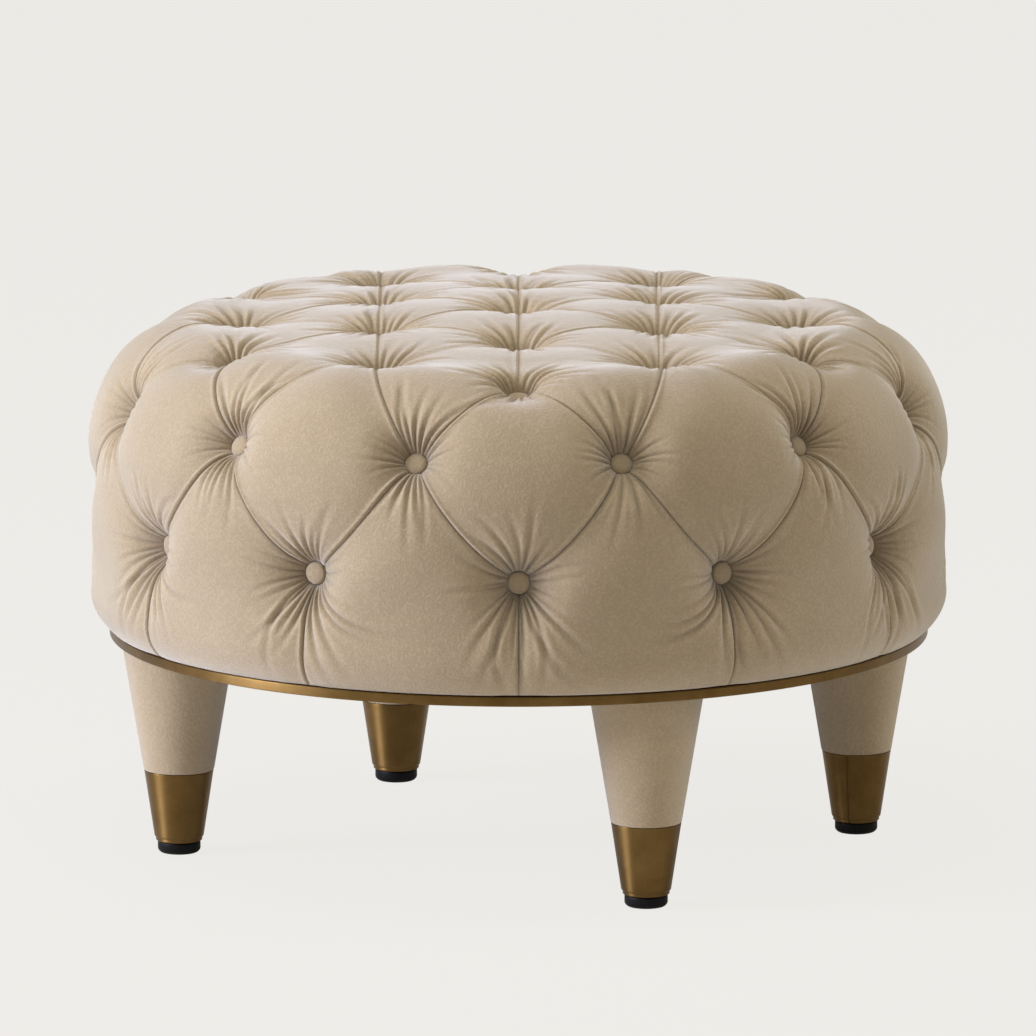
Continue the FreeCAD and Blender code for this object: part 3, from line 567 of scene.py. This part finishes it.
def new_mesh(name, points, faces):
    """A smooth mesh object from arrays of points and same-sized faces."""
    mesh = bpy.data.meshes.new(name)
    faces = np.asarray(faces)
    starts = np.arange(len(faces), dtype=np.int32) * faces.shape[1]
    mesh.vertices.add(len(points))
    mesh.vertices.foreach_set("co", np.asarray(points, np.float32).ravel())
    mesh.loops.add(faces.size)
    mesh.loops.foreach_set("vertex_index", faces.astype(np.int32).ravel())
    mesh.polygons.add(len(faces))
    mesh.polygons.foreach_set("loop_start", starts)
    mesh.polygons.foreach_set("use_smooth", np.full(len(faces), True))
    mesh.update(calc_edges=True)
    mesh.validate()
    obj = bpy.data.objects.new(name, mesh)
    bpy.context.scene.collection.objects.link(obj)
    return obj


# The cover calms down towards the hem
CALM_OVER, CALM_LEAST = 0.030, 0.35


def cover_surface(rays_step=1, rings=RINGS):
    """The tufted surface, welded: crest's points and normals, depths, painted shade, (s, turn), faces.
    """
    cells = {}
    for kind, corners, cell in triangles():
        cells.setdefault(cell, []).append((kind, corners, cell))
    base, out, where, depth, painted_shade, faces = [], [], [], [], [], []
    count = 0
    for cell, members in cells.items():
        around = cell_corners(members)
        start = len(base)
        for kind, corners, _ in members:
            for which in range(len(corners)):
                s, turn = sector_grid(kind, corners, which, rings)
                s, turn = s[::rays_step], turn[::rays_step]
                p, n = (x.reshape(-1, 3) for x in crest(s, turn))
                f = quad_faces(*s.shape)
                mid = f[len(f) // 2]
                facing = np.cross(p[mid[1]] - p[mid[0]], p[mid[3]] - p[mid[0]]) @ n[mid[0]]
                faces.append((f if facing >= 0 else f[:, ::-1]) + count)
                count += len(p)
                base.append(p)
                out.append(n)
                where.append(np.stack([s.ravel(), turn.ravel()], -1))
        points, arc = np.concatenate(base[start:]), np.concatenate(where[start:])[:, 0]
        deep, dark = cover_depths(points, arc, cell, spans(around), around)
        depth.append(deep)
        painted_shade.append(dark)
    base, out, where, depth, painted_shade = (np.concatenate(x) for x in (base, out, where, depth, painted_shade))
    calm = np.clip((S_HEM - where[:, 0]) / CALM_OVER, 0, 1)
    depth = np.where(depth > 0, depth * (CALM_LEAST + (1 - CALM_LEAST) * calm), depth * calm)
    first, faces = weld(base, np.concatenate(faces))
    return base[first], out[first], depth[first], painted_shade[first], where[first], faces


def boundary_loops(faces):
    """Closed rows of point indexes along the open edges of a mesh."""
    edges = np.concatenate([faces[:, [i, (i + 1) % 4]] for i in range(4)])
    keys = np.sort(edges, axis=1)
    _, index, counts = np.unique(keys, axis=0, return_index=True, return_counts=True)
    follow = {int(a): int(b) for a, b in edges[index[counts == 1]]}
    loops = []
    while follow:
        at = next(iter(follow))
        loop = []
        while at in follow:
            loop.append(at)
            at = follow.pop(at)
        loops.append(np.array(loop))
    return loops


def hem_rings(turn):
    """The turned-under hem, as rings inward of the cover's lower edge."""
    return [
        np.stack([r * np.cos(turn), r * np.sin(turn), np.full(len(turn), HEM_Z)], -1)
        for r in (HEM_R - 0.002, HEM_R - 0.012, HEM_IN)
    ]


def hole_rings(edge, crest_points):
    """The cover's floor under a button, as rings inward of the hole's edge."""
    def gap(b):
        at, axis = on_crest(b)
        return np.linalg.norm(at - SEAT * axis - edge.mean(0))

    b = min(BUTTONS, key=gap)
    centre, axis = on_crest(b)
    flat, rho = from_axis(crest_points, b)
    floor = centre - axis * (seat_of(b) + HOLE_DROP)
    return [floor + flat / rho[:, None] * r for r in (COVER_HOLE, HOLE_FLOOR_R)]


def make_cover():
    base, out, depth, painted_shade, where, faces = cover_surface()
    points = base - depth[:, None] * out
    all_points, all_faces, all_where, all_painted_shade = [points], [faces], [where], [painted_shade]
    count = len(points)
    for loop in boundary_loops(faces):
        here = where[loop]
        at_hem = here[:, 0].min() > S_HEM - 1e-6
        rings = hem_rings(here[:, 1]) if at_hem else hole_rings(points[loop], base[loop])
        after = np.roll(np.arange(len(loop)), -1)
        previous = loop
        for ring in rings:
            mine = count + np.arange(len(loop))
            count += len(loop)
            all_points.append(ring)
            all_where.append(here)
            # The cover's floor under each button gets the darkest painted shade; the hem gets none
            all_painted_shade.append(np.full(len(loop), PAINTED_SHADE_REST if at_hem else 1.0))
            all_faces.append(np.stack([previous[after], previous, mine, mine[after]], -1))
            previous = mine
    faces = np.concatenate(all_faces)
    obj = new_mesh("velvet_tufted_cover", np.concatenate(all_points), faces)
    # Stores the painted shade as a point attribute for the velvet material
    layer = obj.data.attributes.new("painted_shade", "FLOAT", "POINT")
    layer.data.foreach_set("value", np.concatenate(all_painted_shade).astype(np.float32))
    lay_out(obj, np.concatenate(all_where), faces)
    return obj


# Flat map of the cover: its scale, the arc length where the top's disc ends, the disc's middle,
# and the length and lower left corners of the side's four strips
MAP_SCALE, MAP_CUT, MAP_DISC, MAP_STRIP = 0.80, 0.335, (0.275, 0.72), 0.43
MAP_CORNERS = np.array([(0.55, 0.79), (0.55, 0.57), (0.01, 0.20), (0.51, 0.20)])


def lay_out(obj, where, faces):
    """A flat map of the cover: the top as a disc, the side in four strips."""
    s, turn = where[faces, 0], where[faces, 1]
    middle_s = s.mean(1)
    middle = np.arctan2(np.sin(turn).mean(1), np.cos(turn).mean(1))
    away = turn - middle[:, None]
    turn = middle[:, None] + np.arctan2(np.sin(away), np.cos(away))
    quarter = np.floor((middle + math.pi) / (TAU / 4)).astype(int).clip(0, 3)
    corner = MAP_CORNERS[quarter]
    along = (turn + math.pi - quarter[:, None] * TAU / 4) / (TAU / 4) * MAP_STRIP
    strip = [corner[:, None, 0] + along, corner[:, None, 1] + (s - MAP_CUT) * MAP_SCALE]
    disc = [MAP_DISC[0] + MAP_SCALE * s * np.cos(turn), MAP_DISC[1] + MAP_SCALE * s * np.sin(turn)]
    on_top = (middle_s < MAP_CUT)[:, None, None]
    uv = np.where(on_top, np.stack(disc, -1), np.stack(strip, -1))
    layer = obj.data.uv_layers.new(name="OFBake")
    layer.data.foreach_set("uv", uv.astype(np.float32).ravel())


# The wadding lies this far under the cover, but no deeper than the foam's pits, and ends above the hem
WADDING_GAP, WADDING_DEEPEST, WADDING_END = 0.0045, 0.0330, 0.012


def make_padding():
    """The wadding just under the cover, following its pillows."""
    base, out, depth, _, where, faces = cover_surface(WADDING_STEP, WADDING_RINGS)
    reach = np.minimum(depth + WADDING_GAP, WADDING_DEEPEST)
    keep = where[:, 0] <= S_HEM - WADDING_END
    return new_mesh("wadding", base - reach[:, None] * out, faces[keep[faces].all(1)])


def lathe(profile, segments, centre=(0, 0), wobble=None, closed=False):
    """Points and faces of a profile of (radius, height) turned about a vertical axis."""
    profile = np.array(profile, float)
    turn = np.arange(segments) / segments * TAU
    r, z = profile[:, 0][:, None], profile[:, 1][:, None]
    if wobble is not None:
        r = r + wobble(turn[None, :])
    x, y = centre[0] + r * np.cos(turn), centre[1] + r * np.sin(turn)
    rows = len(profile)
    i, j = np.meshgrid(np.arange(rows if closed else rows - 1), np.arange(segments), indexing="ij")
    k, l = (i + 1) % rows, (j + 1) % segments
    faces = np.stack([i * segments + j, i * segments + l, k * segments + l, k * segments + j], -1)
    return np.stack([x, y, z + 0 * turn], -1).reshape(-1, 3), faces.reshape(-1, 4)


def rounded(profile, radius, steps):
    """A profile with its inner corners rounded by arcs of about this radius."""
    profile = [np.array(p, float) for p in profile]
    out = [profile[0]]
    for a, b, c in zip(profile, profile[1:], profile[2:]):
        back, on = np.linalg.norm(a - b), np.linalg.norm(c - b)
        cut = min(radius, back * 0.45, on * 0.45)
        start, end = b + (a - b) / back * cut, b + (c - b) / on * cut
        for t in np.linspace(0, 1, steps + 1):
            out.append((1 - t) ** 2 * start + 2 * t * (1 - t) * b + t ** 2 * end)
    return out + [profile[-1]]


def divided(profile, step):
    """A profile with long runs divided."""
    out = [np.array(profile[0], float)]
    for p in profile[1:]:
        start = out[-1]
        run = np.array(p, float) - start
        count = max(1, int(round(np.linalg.norm(run) / step)))
        out += [start + run * k / count for k in range(1, count + 1)]
    return out


# A covered button's profile as shares of its radius and height, and its gathered rim
BUTTON_PROFILE = [(0.0, 1.0), (0.50, 0.965), (0.88, 0.78), (1.0, 0.42), (0.985, 0.0), (0.6, 0.0)]
BUTTON_SEGMENTS, BUTTON_SEED, BUTTON_ROUND, BUTTON_RUN = 56, 900, 0.16, 0.12
BUTTON_TILT, TILT_ABOVE, BUTTON_EYE = 0.02, 0.3, 0.004
GATHER, GATHERS, GATHER_FROM = 0.006, 9, 0.8


def make_buttons(name, families):
    """Domed covered buttons with a soft edge and a slightly gathered rim."""
    profile = np.array(divided(rounded(BUTTON_PROFILE, BUTTON_ROUND, 5), BUTTON_RUN))
    radial, height = profile[:, :1], profile[:, 1:]
    turn = np.arange(BUTTON_SEGMENTS) / BUTTON_SEGMENTS * TAU
    rows, segments = len(profile), BUTTON_SEGMENTS
    i, j = np.meshgrid(np.arange(rows - 1), np.arange(segments), indexing="ij")
    k, l = i + 1, (j + 1) % segments
    quads = np.stack([i * segments + j, k * segments + j, k * segments + l, i * segments + l], -1)
    points, faces = [], []
    for n, b in enumerate(x for x in BUTTONS if x.family in families):
        at, axis = on_crest(b)
        side = np.cross(axis, [0.31, 0.87, 0.39])
        side /= np.linalg.norm(side)
        other = np.cross(axis, side)
        rng = np.random.default_rng(BUTTON_SEED + n)
        gather = 1 + GATHER * np.cos(GATHERS * turn + rng.uniform(0, 6))
        tilt = rng.normal(size=2) * BUTTON_TILT
        r = BUTTON_R * np.maximum(radial, BUTTON_EYE) * np.where(radial > GATHER_FROM, gather, 1)
        x, y = r * np.cos(turn), r * np.sin(turn)
        h = BUTTON_H * height - seat_of(b) + (tilt[0] * x + tilt[1] * y) * (height > TILT_ABOVE)
        p = at + x[..., None] * side + y[..., None] * other + h[..., None] * axis
        points.append(p.reshape(-1, 3))
        faces.append(quads.reshape(-1, 4) + n * rows * segments)
    return new_mesh(name, np.concatenate(points), np.concatenate(faces))


# Materials
def linear(r, g, b):
    """A written 0-255 colour as linear values."""
    shares = (c / 255 for c in (r, g, b))
    return tuple(c / 12.92 if c <= 0.0404 else ((c + 0.055) / 1.055) ** 2.4 for c in shares) + (1.0,)


def grey(v):
    return (v, v, v, 1.0)


class Nodes:
    """The node tree of a new material or world, with short ways to add and join nodes."""

    def __init__(self, holder):
        holder.use_nodes = True
        self.holder, self.tree = holder, holder.node_tree

    def add(self, kind, **values):
        node = self.tree.nodes.new(kind)
        for key, value in values.items():
            if key in node.inputs.keys():
                node.inputs[key].default_value = value
            else:
                setattr(node, key, value)
        return node

    def join(self, a, b):
        self.tree.links.new(a, b)

    def feed(self, socket, value):
        """Joins an output to a socket, or sets the socket to a plain value."""
        if hasattr(value, "is_linked"):
            self.join(value, socket)
        else:
            socket.default_value = value

    def position(self, stretch=(1, 1, 1)):
        where = self.add("ShaderNodeTexCoord")
        scaled = self.add("ShaderNodeMapping", Scale=stretch)
        self.join(where.outputs["Object"], scaled.inputs["Vector"])
        return scaled.outputs["Vector"]

    def noise(self, vector, scale, detail, rough=0.5, swirl=0.0, output="Fac"):
        node = self.add("ShaderNodeTexNoise", Scale=scale, Detail=detail, Roughness=rough,
                        Distortion=swirl)
        self.join(vector, node.inputs["Vector"])
        return node.outputs[output]

    def ramp(self, value, stops):
        node = self.add("ShaderNodeValToRGB")
        while len(node.color_ramp.elements) < len(stops):
            node.color_ramp.elements.new(0.5)
        for element, (place, colour) in zip(node.color_ramp.elements, stops):
            element.position = place
            element.color = colour
        self.join(value, node.inputs["Fac"])
        return node.outputs["Color"]

    def tint(self, tone, by, factor):
        """A colour multiplied by another, in part."""
        node = self.add("ShaderNodeMix", data_type="RGBA", blend_type="MULTIPLY")
        for index, value in ((6, tone), (7, by), (0, factor)):
            self.feed(node.inputs[index], value)
        return node.outputs[2]

    def math(self, kind, a, b):
        node = self.add("ShaderNodeMath", operation=kind)
        self.feed(node.inputs[0], a)
        self.feed(node.inputs[1], b)
        return node.outputs[0]

    def vector(self, kind, *values):
        node = self.add("ShaderNodeVectorMath", operation=kind)
        for socket, value in zip(node.inputs, values):
            self.feed(socket, value)
        return node.outputs["Value" if kind == "DOT_PRODUCT" else "Vector"]

    def curls(self, at, waves_per_m=1180.0, swirl_scale=165.0, swirl_by=15.0):
        """Short fine curls of one width, 1 on their lines: swirled waves, cut by the surface."""
        swirl = self.noise(at, scale=swirl_scale, detail=1.0, output="Color")
        swirled = self.vector("MULTIPLY", swirl, (swirl_by,) * 3)
        phase = self.vector("MULTIPLY_ADD", at, (waves_per_m,) * 3, swirled)
        apart = self.add("ShaderNodeSeparateXYZ")
        self.join(self.vector("COSINE", phase), apart.inputs["Vector"])
        turned = self.add("ShaderNodeCombineXYZ")
        for to, source in ("XY", "YZ", "ZX"):
            self.join(apart.outputs[source], turned.inputs[to])
        waves = self.vector("DOT_PRODUCT", self.vector("SINE", phase), turned.outputs["Vector"])
        level = self.math("ADD", self.math("MULTIPLY", waves, 0.333), 0.5)
        return self.ramp(level, [(0.56, grey(0.0)), (0.67, grey(0.8)), (0.82, grey(1.0))])

    def bump(self, height, strength, distance, below=None):
        node = self.add("ShaderNodeBump", Strength=strength, Distance=distance)
        self.join(height, node.inputs["Height"])
        if below is not None:
            self.join(below, node.inputs["Normal"])
        return node.outputs["Normal"]

    def set(self, **values):
        shader = self.tree.nodes["Principled BSDF"]
        for key, value in values.items():
            self.feed(shader.inputs[key.replace("_", " ")], value)
        return self.holder


def material_nodes(name):
    return Nodes(bpy.data.materials.new(name))


def velvet(name, colour, dark, pale, nap=1.0, pits=False):
    """Velvet with a brushed, curled pile. With pits it multiplies painted shade into its colour from a
    mesh attribute: darker in pits, folds, creases and button holes, lighter on fold ridges.
    """
    n = material_nodes(name)
    at = n.position()
    broad = n.noise(at, scale=8.0, detail=3.0, rough=0.55)
    brushed = n.noise(at, scale=60.0, detail=3.0, rough=0.6, swirl=0.8)
    pile = n.noise(at, scale=560.0, detail=2.0, rough=0.65, swirl=0.5)
    speck = n.noise(at, scale=1700.0, detail=1.0)
    curl = n.curls(at)
    tone = n.ramp(broad, [(0.30, dark), (0.52, colour), (0.74, pale)])
    tone = n.tint(tone, n.ramp(brushed, [(0.25, grey(0.94)), (0.75, grey(1.05))]), 0.40)
    tone = n.tint(tone, (1.09, 1.10, 1.13, 1.0), curl)
    tone = n.tint(tone, n.ramp(pile, [(0.28, grey(0.88)), (0.72, grey(1.11))]), 0.45)
    tone = n.tint(tone, n.ramp(speck, [(0.30, grey(0.92)), (0.70, grey(1.06))]), 0.35)
    if pits:
        # Painted shade and highlight: 1.12 on fold ridges, 1 at rest, 0.5 in the deepest pits and under
        # buttons
        painted_shade = n.add("ShaderNodeAttribute", attribute_name="painted_shade").outputs["Fac"]
        shade = n.ramp(painted_shade, [(0.0, grey(1.12)), (PAINTED_SHADE_REST, grey(1.0)), (1.0, grey(0.50))])
        tone = n.tint(tone, shade, 1.0)
    height = n.math("ADD", n.math("MULTIPLY", pile, 0.6), n.math("MULTIPLY", speck, 0.4))
    height = n.math("ADD", height, n.math("MULTIPLY", curl, 0.4))
    normal = n.bump(height, strength=0.45 * nap, distance=0.0007)
    normal = n.bump(brushed, strength=0.10 * nap, distance=0.0015, below=normal)
    return n.set(Base_Color=tone, Roughness=0.92, Specular_IOR_Level=0.10, Sheen_Weight=0.78,
                 Sheen_Roughness=0.5, Sheen_Tint=(1.0, 0.985, 0.96, 1.0), Normal=normal)


BRASS, BRASS_DEEP, BRASS_PALE = linear(126, 98, 56), linear(113, 86, 47), linear(139, 110, 66)


def brass(name, stretch):
    """Brushed brass, its streaks drawn out by stretch."""
    n = material_nodes(name)
    streak = n.noise(n.position(stretch), scale=60.0, detail=4.0, rough=0.7)
    cloud = n.noise(n.position(), scale=34.0, detail=4.0, rough=0.65)
    tone = n.ramp(cloud, [(0.28, BRASS_DEEP), (0.52, BRASS), (0.80, BRASS_PALE)])
    tone = n.tint(tone, n.ramp(streak, [(0.25, grey(0.80)), (0.75, grey(1.12))]), 0.5)
    rough = n.ramp(streak, [(0.2, grey(0.39)), (0.8, grey(0.50))])
    normal = n.bump(streak, strength=0.06, distance=0.0004)
    around = n.add("ShaderNodeTangent", direction_type="RADIAL", axis="Z").outputs["Tangent"]
    return n.set(Base_Color=tone, Metallic=1.0, Roughness=rough, Anisotropic=0.85,
                 Anisotropic_Rotation=0.25, Normal=normal, Tangent=around)


def plain(name, colour, other, scale, rough, bump=0.15, stretch=(1, 1, 1), metallic=0.0,
          distance=0.0005, gloss=0.5):
    """A material of two colours in a fine grain."""
    n = material_nodes(name)
    grain = n.noise(n.position(stretch), scale=scale, detail=4.0, rough=0.62)
    tone = n.ramp(grain, [(0.30, linear(*colour)), (0.70, linear(*other))])
    return n.set(Base_Color=tone, Roughness=rough, Metallic=metallic, Specular_IOR_Level=gloss,
                 Normal=n.bump(grain, bump, distance))


SAND, SAND_DARK, SAND_PALE = linear(171, 151, 122), linear(167, 147, 118), linear(175, 155, 126)
BUTTON_SAND = linear(168, 148, 119), linear(163, 143, 114), linear(173, 153, 124)
# Painted light: the legs' velvet is a lighter copy of the cover's, raised to brighten the legs
LEG_SAND_LIT, LEG_PALE_LIT = linear(179, 158, 127), linear(184, 163, 132)
MATERIALS = {
    "velvet": velvet("velvet", SAND, SAND_DARK, SAND_PALE, pits=True),
    "button_velvet": velvet("button_velvet", *BUTTON_SAND, nap=0.8),
    "leg_velvet": velvet("leg_velvet", LEG_SAND_LIT, SAND, LEG_PALE_LIT),
    "band_brass": brass("band_brass", (1, 1, 14)),
    "ferrule_brass": brass("ferrule_brass", (1, 1, 0.05)),
    "insert_brass": plain("insert_brass", (168, 134, 78), (190, 158, 100), 300, 0.35, metallic=1.0),
    "steel": plain("steel", (150, 152, 154), (182, 184, 186), 400, 0.34, metallic=1.0),
    "glide_black": plain("glide_black", (7, 6, 6), (13, 12, 11), 700, 0.5, 0.2, gloss=0.2),
    "plinth_paint": plain("plinth_paint", (44, 39, 33), (54, 48, 41), 260, 0.6, 0.2),
    # Black dust cloth: a real cover under the frame, whose edge also stands in for the shade in the gap
    # between the velvet and the band
    "dust_cloth": plain("dust_cloth", (22, 21, 20), (38, 36, 34), 900, 0.95, 0.5),
    "plywood": plain("plywood", (198, 166, 122), (222, 194, 152), 30, 0.62, 0.2, (1, 9, 40)),
    "post_wood": plain("post_wood", (190, 152, 104), (216, 182, 136), 34, 0.6, 0.2, (9, 9, 1)),
    "leg_wood": plain("leg_wood", (176, 136, 92), (204, 166, 120), 34, 0.6, 0.2, (9, 9, 1)),
    "fibreboard": plain("fibreboard", (158, 128, 94), (178, 150, 114), 500, 0.8, 0.3),
    "foam": plain("foam", (226, 208, 150), (240, 226, 178), 420, 0.95, 0.5),
    "batting": plain("batting", (228, 226, 220), (246, 245, 240), 200, 1.0, 0.6, distance=0.002),
    "twine": plain("twine", (200, 184, 150), (226, 212, 184), 1200, 0.9, 0.6),
}


def dress(obj, slot):
    obj.data.materials.clear()
    obj.data.materials.append(MATERIALS[slot])


def show(obj, slot, body, *stands_for):
    dress(obj, slot)
    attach(obj, body)
    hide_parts(*stands_for)
    return obj


# Upholstery
cover = show(make_cover(), "velvet", ROOT, "velvet_cover")
padding = show(make_padding(), "batting", ROOT, "batting", "foam_top", "foam_side")
for name, families in (("top_buttons", TOP_FAMILIES), ("upper_row_buttons", ("upper",)),
                       ("lower_row_buttons", ("lower",))):
    show(make_buttons("covered_" + name, families), "button_velvet", ROOT, name)

# Legs, metres: each leg's angle in degrees on the circle, and the radii and heights of its pieces
LEGS = {"back_right": 8.6, "back_left": 111.4, "front_left": 188.6, "front_right": 291.4}
LEG_CIRCLE, LEG_TOP_Z, FERRULE_TOP, GLIDE_H = 0.281, 0.1768, 0.069, 0.010
LEG_TOP_R, LEG_FOOT_R, SLEEVE = 0.0466, 0.0286, 0.0018
RIM_R, FOOT_R, GLIDE_R = 0.0284, 0.0193, 0.0175
FERRULE_LIP, LIP_STEP, LIP_FALL = GLIDE_H + 0.0040, 0.0003, 0.0009
GLIDE_TOP, GLIDE_BEVEL, AXIS_R = GLIDE_H - 0.0003, 0.0026, 0.0004
SEAM_R, SEAM_DEPTH, SEAM_WIDTH = 0.036, 0.0009, 0.0011
SEAM_RIDGE, SEAM_RIDGE_AT, SEAM_RIDGE_WIDTH = 0.0003, 0.003, 0.0015
JOINT_R, JOINT_DEPTH, JOINT_WIDTH, JOINT_TURN = 0.024, 0.0011, 0.0005, math.radians(242)
SLEEVE_SEGMENTS, FERRULE_SEGMENTS, GLIDE_SEGMENTS, BAND_SEGMENTS = 160, 420, 96, 480
SOFT_EDGE, SOFT_RUN, METAL_EDGE, METAL_RUN = 0.0016, 0.004, 0.0006, 0.005


def around_from(turn, at, radius):
    """Distance round a leg from the angle at, on a circle of this radius."""
    return np.arctan2(np.sin(turn - at), np.cos(turn - at)) * radius


def sleeve_seam(at):
    """The sewn seam of a sleeve: a groove between two soft ridges."""
    def wobble(turn):
        away = around_from(turn, at, SEAM_R)
        ridges = SEAM_RIDGE * bell(np.abs(away) - SEAM_RIDGE_AT, SEAM_RIDGE_WIDTH)
        return ridges - SEAM_DEPTH * bell(away, SEAM_WIDTH)
    return wobble


def ferrule_joint(at):
    """The fine joint of a rolled ferrule."""
    return lambda turn: -JOINT_DEPTH * bell(around_from(turn, at, JOINT_R), JOINT_WIDTH)


SLEEVE_OUTLINE = [
    (LEG_FOOT_R - SLEEVE, FERRULE_TOP + 0.0002), (LEG_FOOT_R, FERRULE_TOP + 0.0002),
    (LEG_TOP_R, LEG_TOP_Z), (LEG_TOP_R - SLEEVE, LEG_TOP_Z),
]
FERRULE_OUTLINE = [
    (RIM_R - 0.0015, FERRULE_TOP - 0.0001), (RIM_R, FERRULE_TOP - 0.0001),
    (FOOT_R + 0.0008, FERRULE_LIP), (FOOT_R - LIP_STEP, FERRULE_LIP - LIP_FALL),
    (FOOT_R - LIP_STEP, GLIDE_H + 0.0008), (FOOT_R - 0.0011, GLIDE_H), (GLIDE_R - 0.004, GLIDE_H),
]
GLIDE_OUTLINE = [
    (AXIS_R, GLIDE_TOP), (GLIDE_R, GLIDE_TOP), (GLIDE_R, GLIDE_BEVEL),
    (GLIDE_R - GLIDE_BEVEL, 0.0), (AXIS_R, 0.0),
]

for leg, degrees in LEGS.items():
    turn = math.radians(degrees)
    centre = (LEG_CIRCLE * math.cos(turn), LEG_CIRCLE * math.sin(turn))
    outline = divided(rounded(SLEEVE_OUTLINE, SOFT_EDGE, 5), SOFT_RUN)
    points, faces = lathe(outline, SLEEVE_SEGMENTS, centre, sleeve_seam(turn + math.pi))
    sleeve = new_mesh("leg_velvet_" + leg, points, faces)
    show(sleeve, "leg_velvet", ROOT, "leg_sleeve_" + leg)

    outline = divided(rounded(FERRULE_OUTLINE, METAL_EDGE, 4), METAL_RUN)
    points, faces = lathe(outline, FERRULE_SEGMENTS, centre, ferrule_joint(turn + JOINT_TURN))
    ferrule = new_mesh("brass_ferrule_" + leg, points, faces[:, ::-1])
    show(ferrule, "ferrule_brass", ROOT, "ferrule_" + leg)

    outline = divided(rounded(GLIDE_OUTLINE, SOFT_EDGE, 5), SOFT_RUN)
    points, faces = lathe(outline, GLIDE_SEGMENTS, centre)
    glide = new_mesh("floor_glide_" + leg, points, faces[:, ::-1])
    show(glide, "glide_black", "leveller_" + leg, "glide_" + leg)

# Band, as high and wide as in the frame
BAND_THICK, BAND_EDGE = 0.003, 0.0009
low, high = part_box("brass_band")
inner, outer = high.x - BAND_THICK, high.x
outline = [(inner, low.z), (outer, low.z), (outer, high.z), (inner, high.z)]
outline = rounded([*outline, outline[0]], BAND_EDGE, 5)[:-1]
points, faces = lathe(outline, BAND_SEGMENTS, closed=True)
show(new_mesh("brass_band_ring", points, faces), "band_brass", ROOT, "brass_band")

for entry in frame["record"]["subparts"]:
    dress(NODES[entry["node"]], entry["material_slot"])

# Floor, light and camera
FLOOR_COLOUR, FLOOR_SIZE, FLOOR_AT = linear(238, 236, 232), 60, (0, 8, 0)
FLOOR_GLOW, FLOOR_IN_GLOSS = 0.955, 0.2
ROOM_COLOUR, ROOM_LEFT, ROOM_RIGHT, FRONT_DIM = linear(238, 235, 227), 0.66, 0.30, 0.22
MIDDLE = (0, 0, 0.26)
scene = bpy.context.scene


def make_floor():
    """A pale floor that shows its own colour to the camera and keeps a soft shadow."""
    bpy.ops.mesh.primitive_plane_add(size=FLOOR_SIZE, location=FLOOR_AT)
    floor = bpy.context.object
    floor.name = "floor"
    n = material_nodes("floor_pale")
    rays = n.add("ShaderNodeLightPath").outputs
    seen = n.math("MULTIPLY", rays["Is Glossy Ray"], FLOOR_IN_GLOSS)
    seen = n.math("MAXIMUM", seen, rays["Is Camera Ray"])
    seen = n.math("MAXIMUM", seen, rays["Is Transmission Ray"])
    glow = n.add("ShaderNodeEmission", Color=FLOOR_COLOUR, Strength=1.0)
    dull = n.add("ShaderNodeBsdfDiffuse", Color=FLOOR_COLOUR)
    blend = n.add("ShaderNodeMixShader")
    n.join(n.math("MULTIPLY", seen, FLOOR_GLOW), blend.inputs[0])
    n.join(dull.outputs[0], blend.inputs[1])
    n.join(glow.outputs[0], blend.inputs[2])
    n.join(blend.outputs[0], n.tree.nodes["Material Output"].inputs["Surface"])
    floor.data.materials.append(n.holder)


def lamp(name, at, size, power, colour):
    """A round soft lamp aimed at the middle of the object."""
    data = bpy.data.lights.new(name, "AREA")
    data.shape = "DISK"
    data.size, data.energy, data.color = size, power, colour
    obj = bpy.data.objects.new(name, data)
    scene.collection.objects.link(obj)
    obj.location = at
    obj.rotation_euler = (Vector(MIDDLE) - Vector(at)).to_track_quat("-Z", "Y").to_euler()
    return obj


def make_world():
    """A pale room, brighter on the key lamp's side and dimmer behind the camera."""
    n = Nodes(bpy.data.worlds.new("studio"))
    scene.world = n.holder
    split = n.add("ShaderNodeSeparateXYZ")
    n.join(n.add("ShaderNodeTexCoord").outputs["Generated"], split.inputs[0])
    spread = n.add("ShaderNodeMapRange", **{
        "From Min": -1, "From Max": 1, "To Min": ROOM_LEFT, "To Max": ROOM_RIGHT})
    n.join(split.outputs["X"], spread.inputs["Value"])
    front = n.math("MAXIMUM", n.math("MULTIPLY", split.outputs["Y"], -1.0), 0.0)
    front = n.math("MULTIPLY", n.math("POWER", front, 2.0), FRONT_DIM)
    swap = n.add("ShaderNodeMix")
    n.join(n.add("ShaderNodeLightPath").outputs["Is Camera Ray"], swap.inputs[0])
    n.join(n.math("SUBTRACT", spread.outputs["Result"], front), swap.inputs[2])
    swap.inputs[3].default_value = 1.0
    background = n.tree.nodes["Background"]
    background.inputs["Color"].default_value = ROOM_COLOUR
    n.join(swap.outputs[0], background.inputs["Strength"])


make_floor()
lamp("key", (-3.65, -0.9, 1.5), 1.5, 126, (0.93, 1.0, 1.27))
lamp("top", (-0.5, -0.6, 3.0), 1.8, 33, (1.0, 0.96, 0.84))
lamp("rim", (3.2, 0.7, 1.2), 1.2, 27, (1.0, 0.97, 0.9)).visible_glossy = False
make_world()

lens = bpy.data.cameras.new("camera")
lens.sensor_width = SENSOR_MM
lens.lens = FOCAL_PX / FRAME_PX * SENSOR_MM
lens.clip_end = CLIP_END
eye = bpy.data.objects.new("camera", lens)
scene.collection.objects.link(eye)
eye.location = EYE
eye.rotation_euler = (math.pi / 2 - PITCH, 0, 0)
scene.camera = eye
scene.view_settings.view_transform = "Standard"
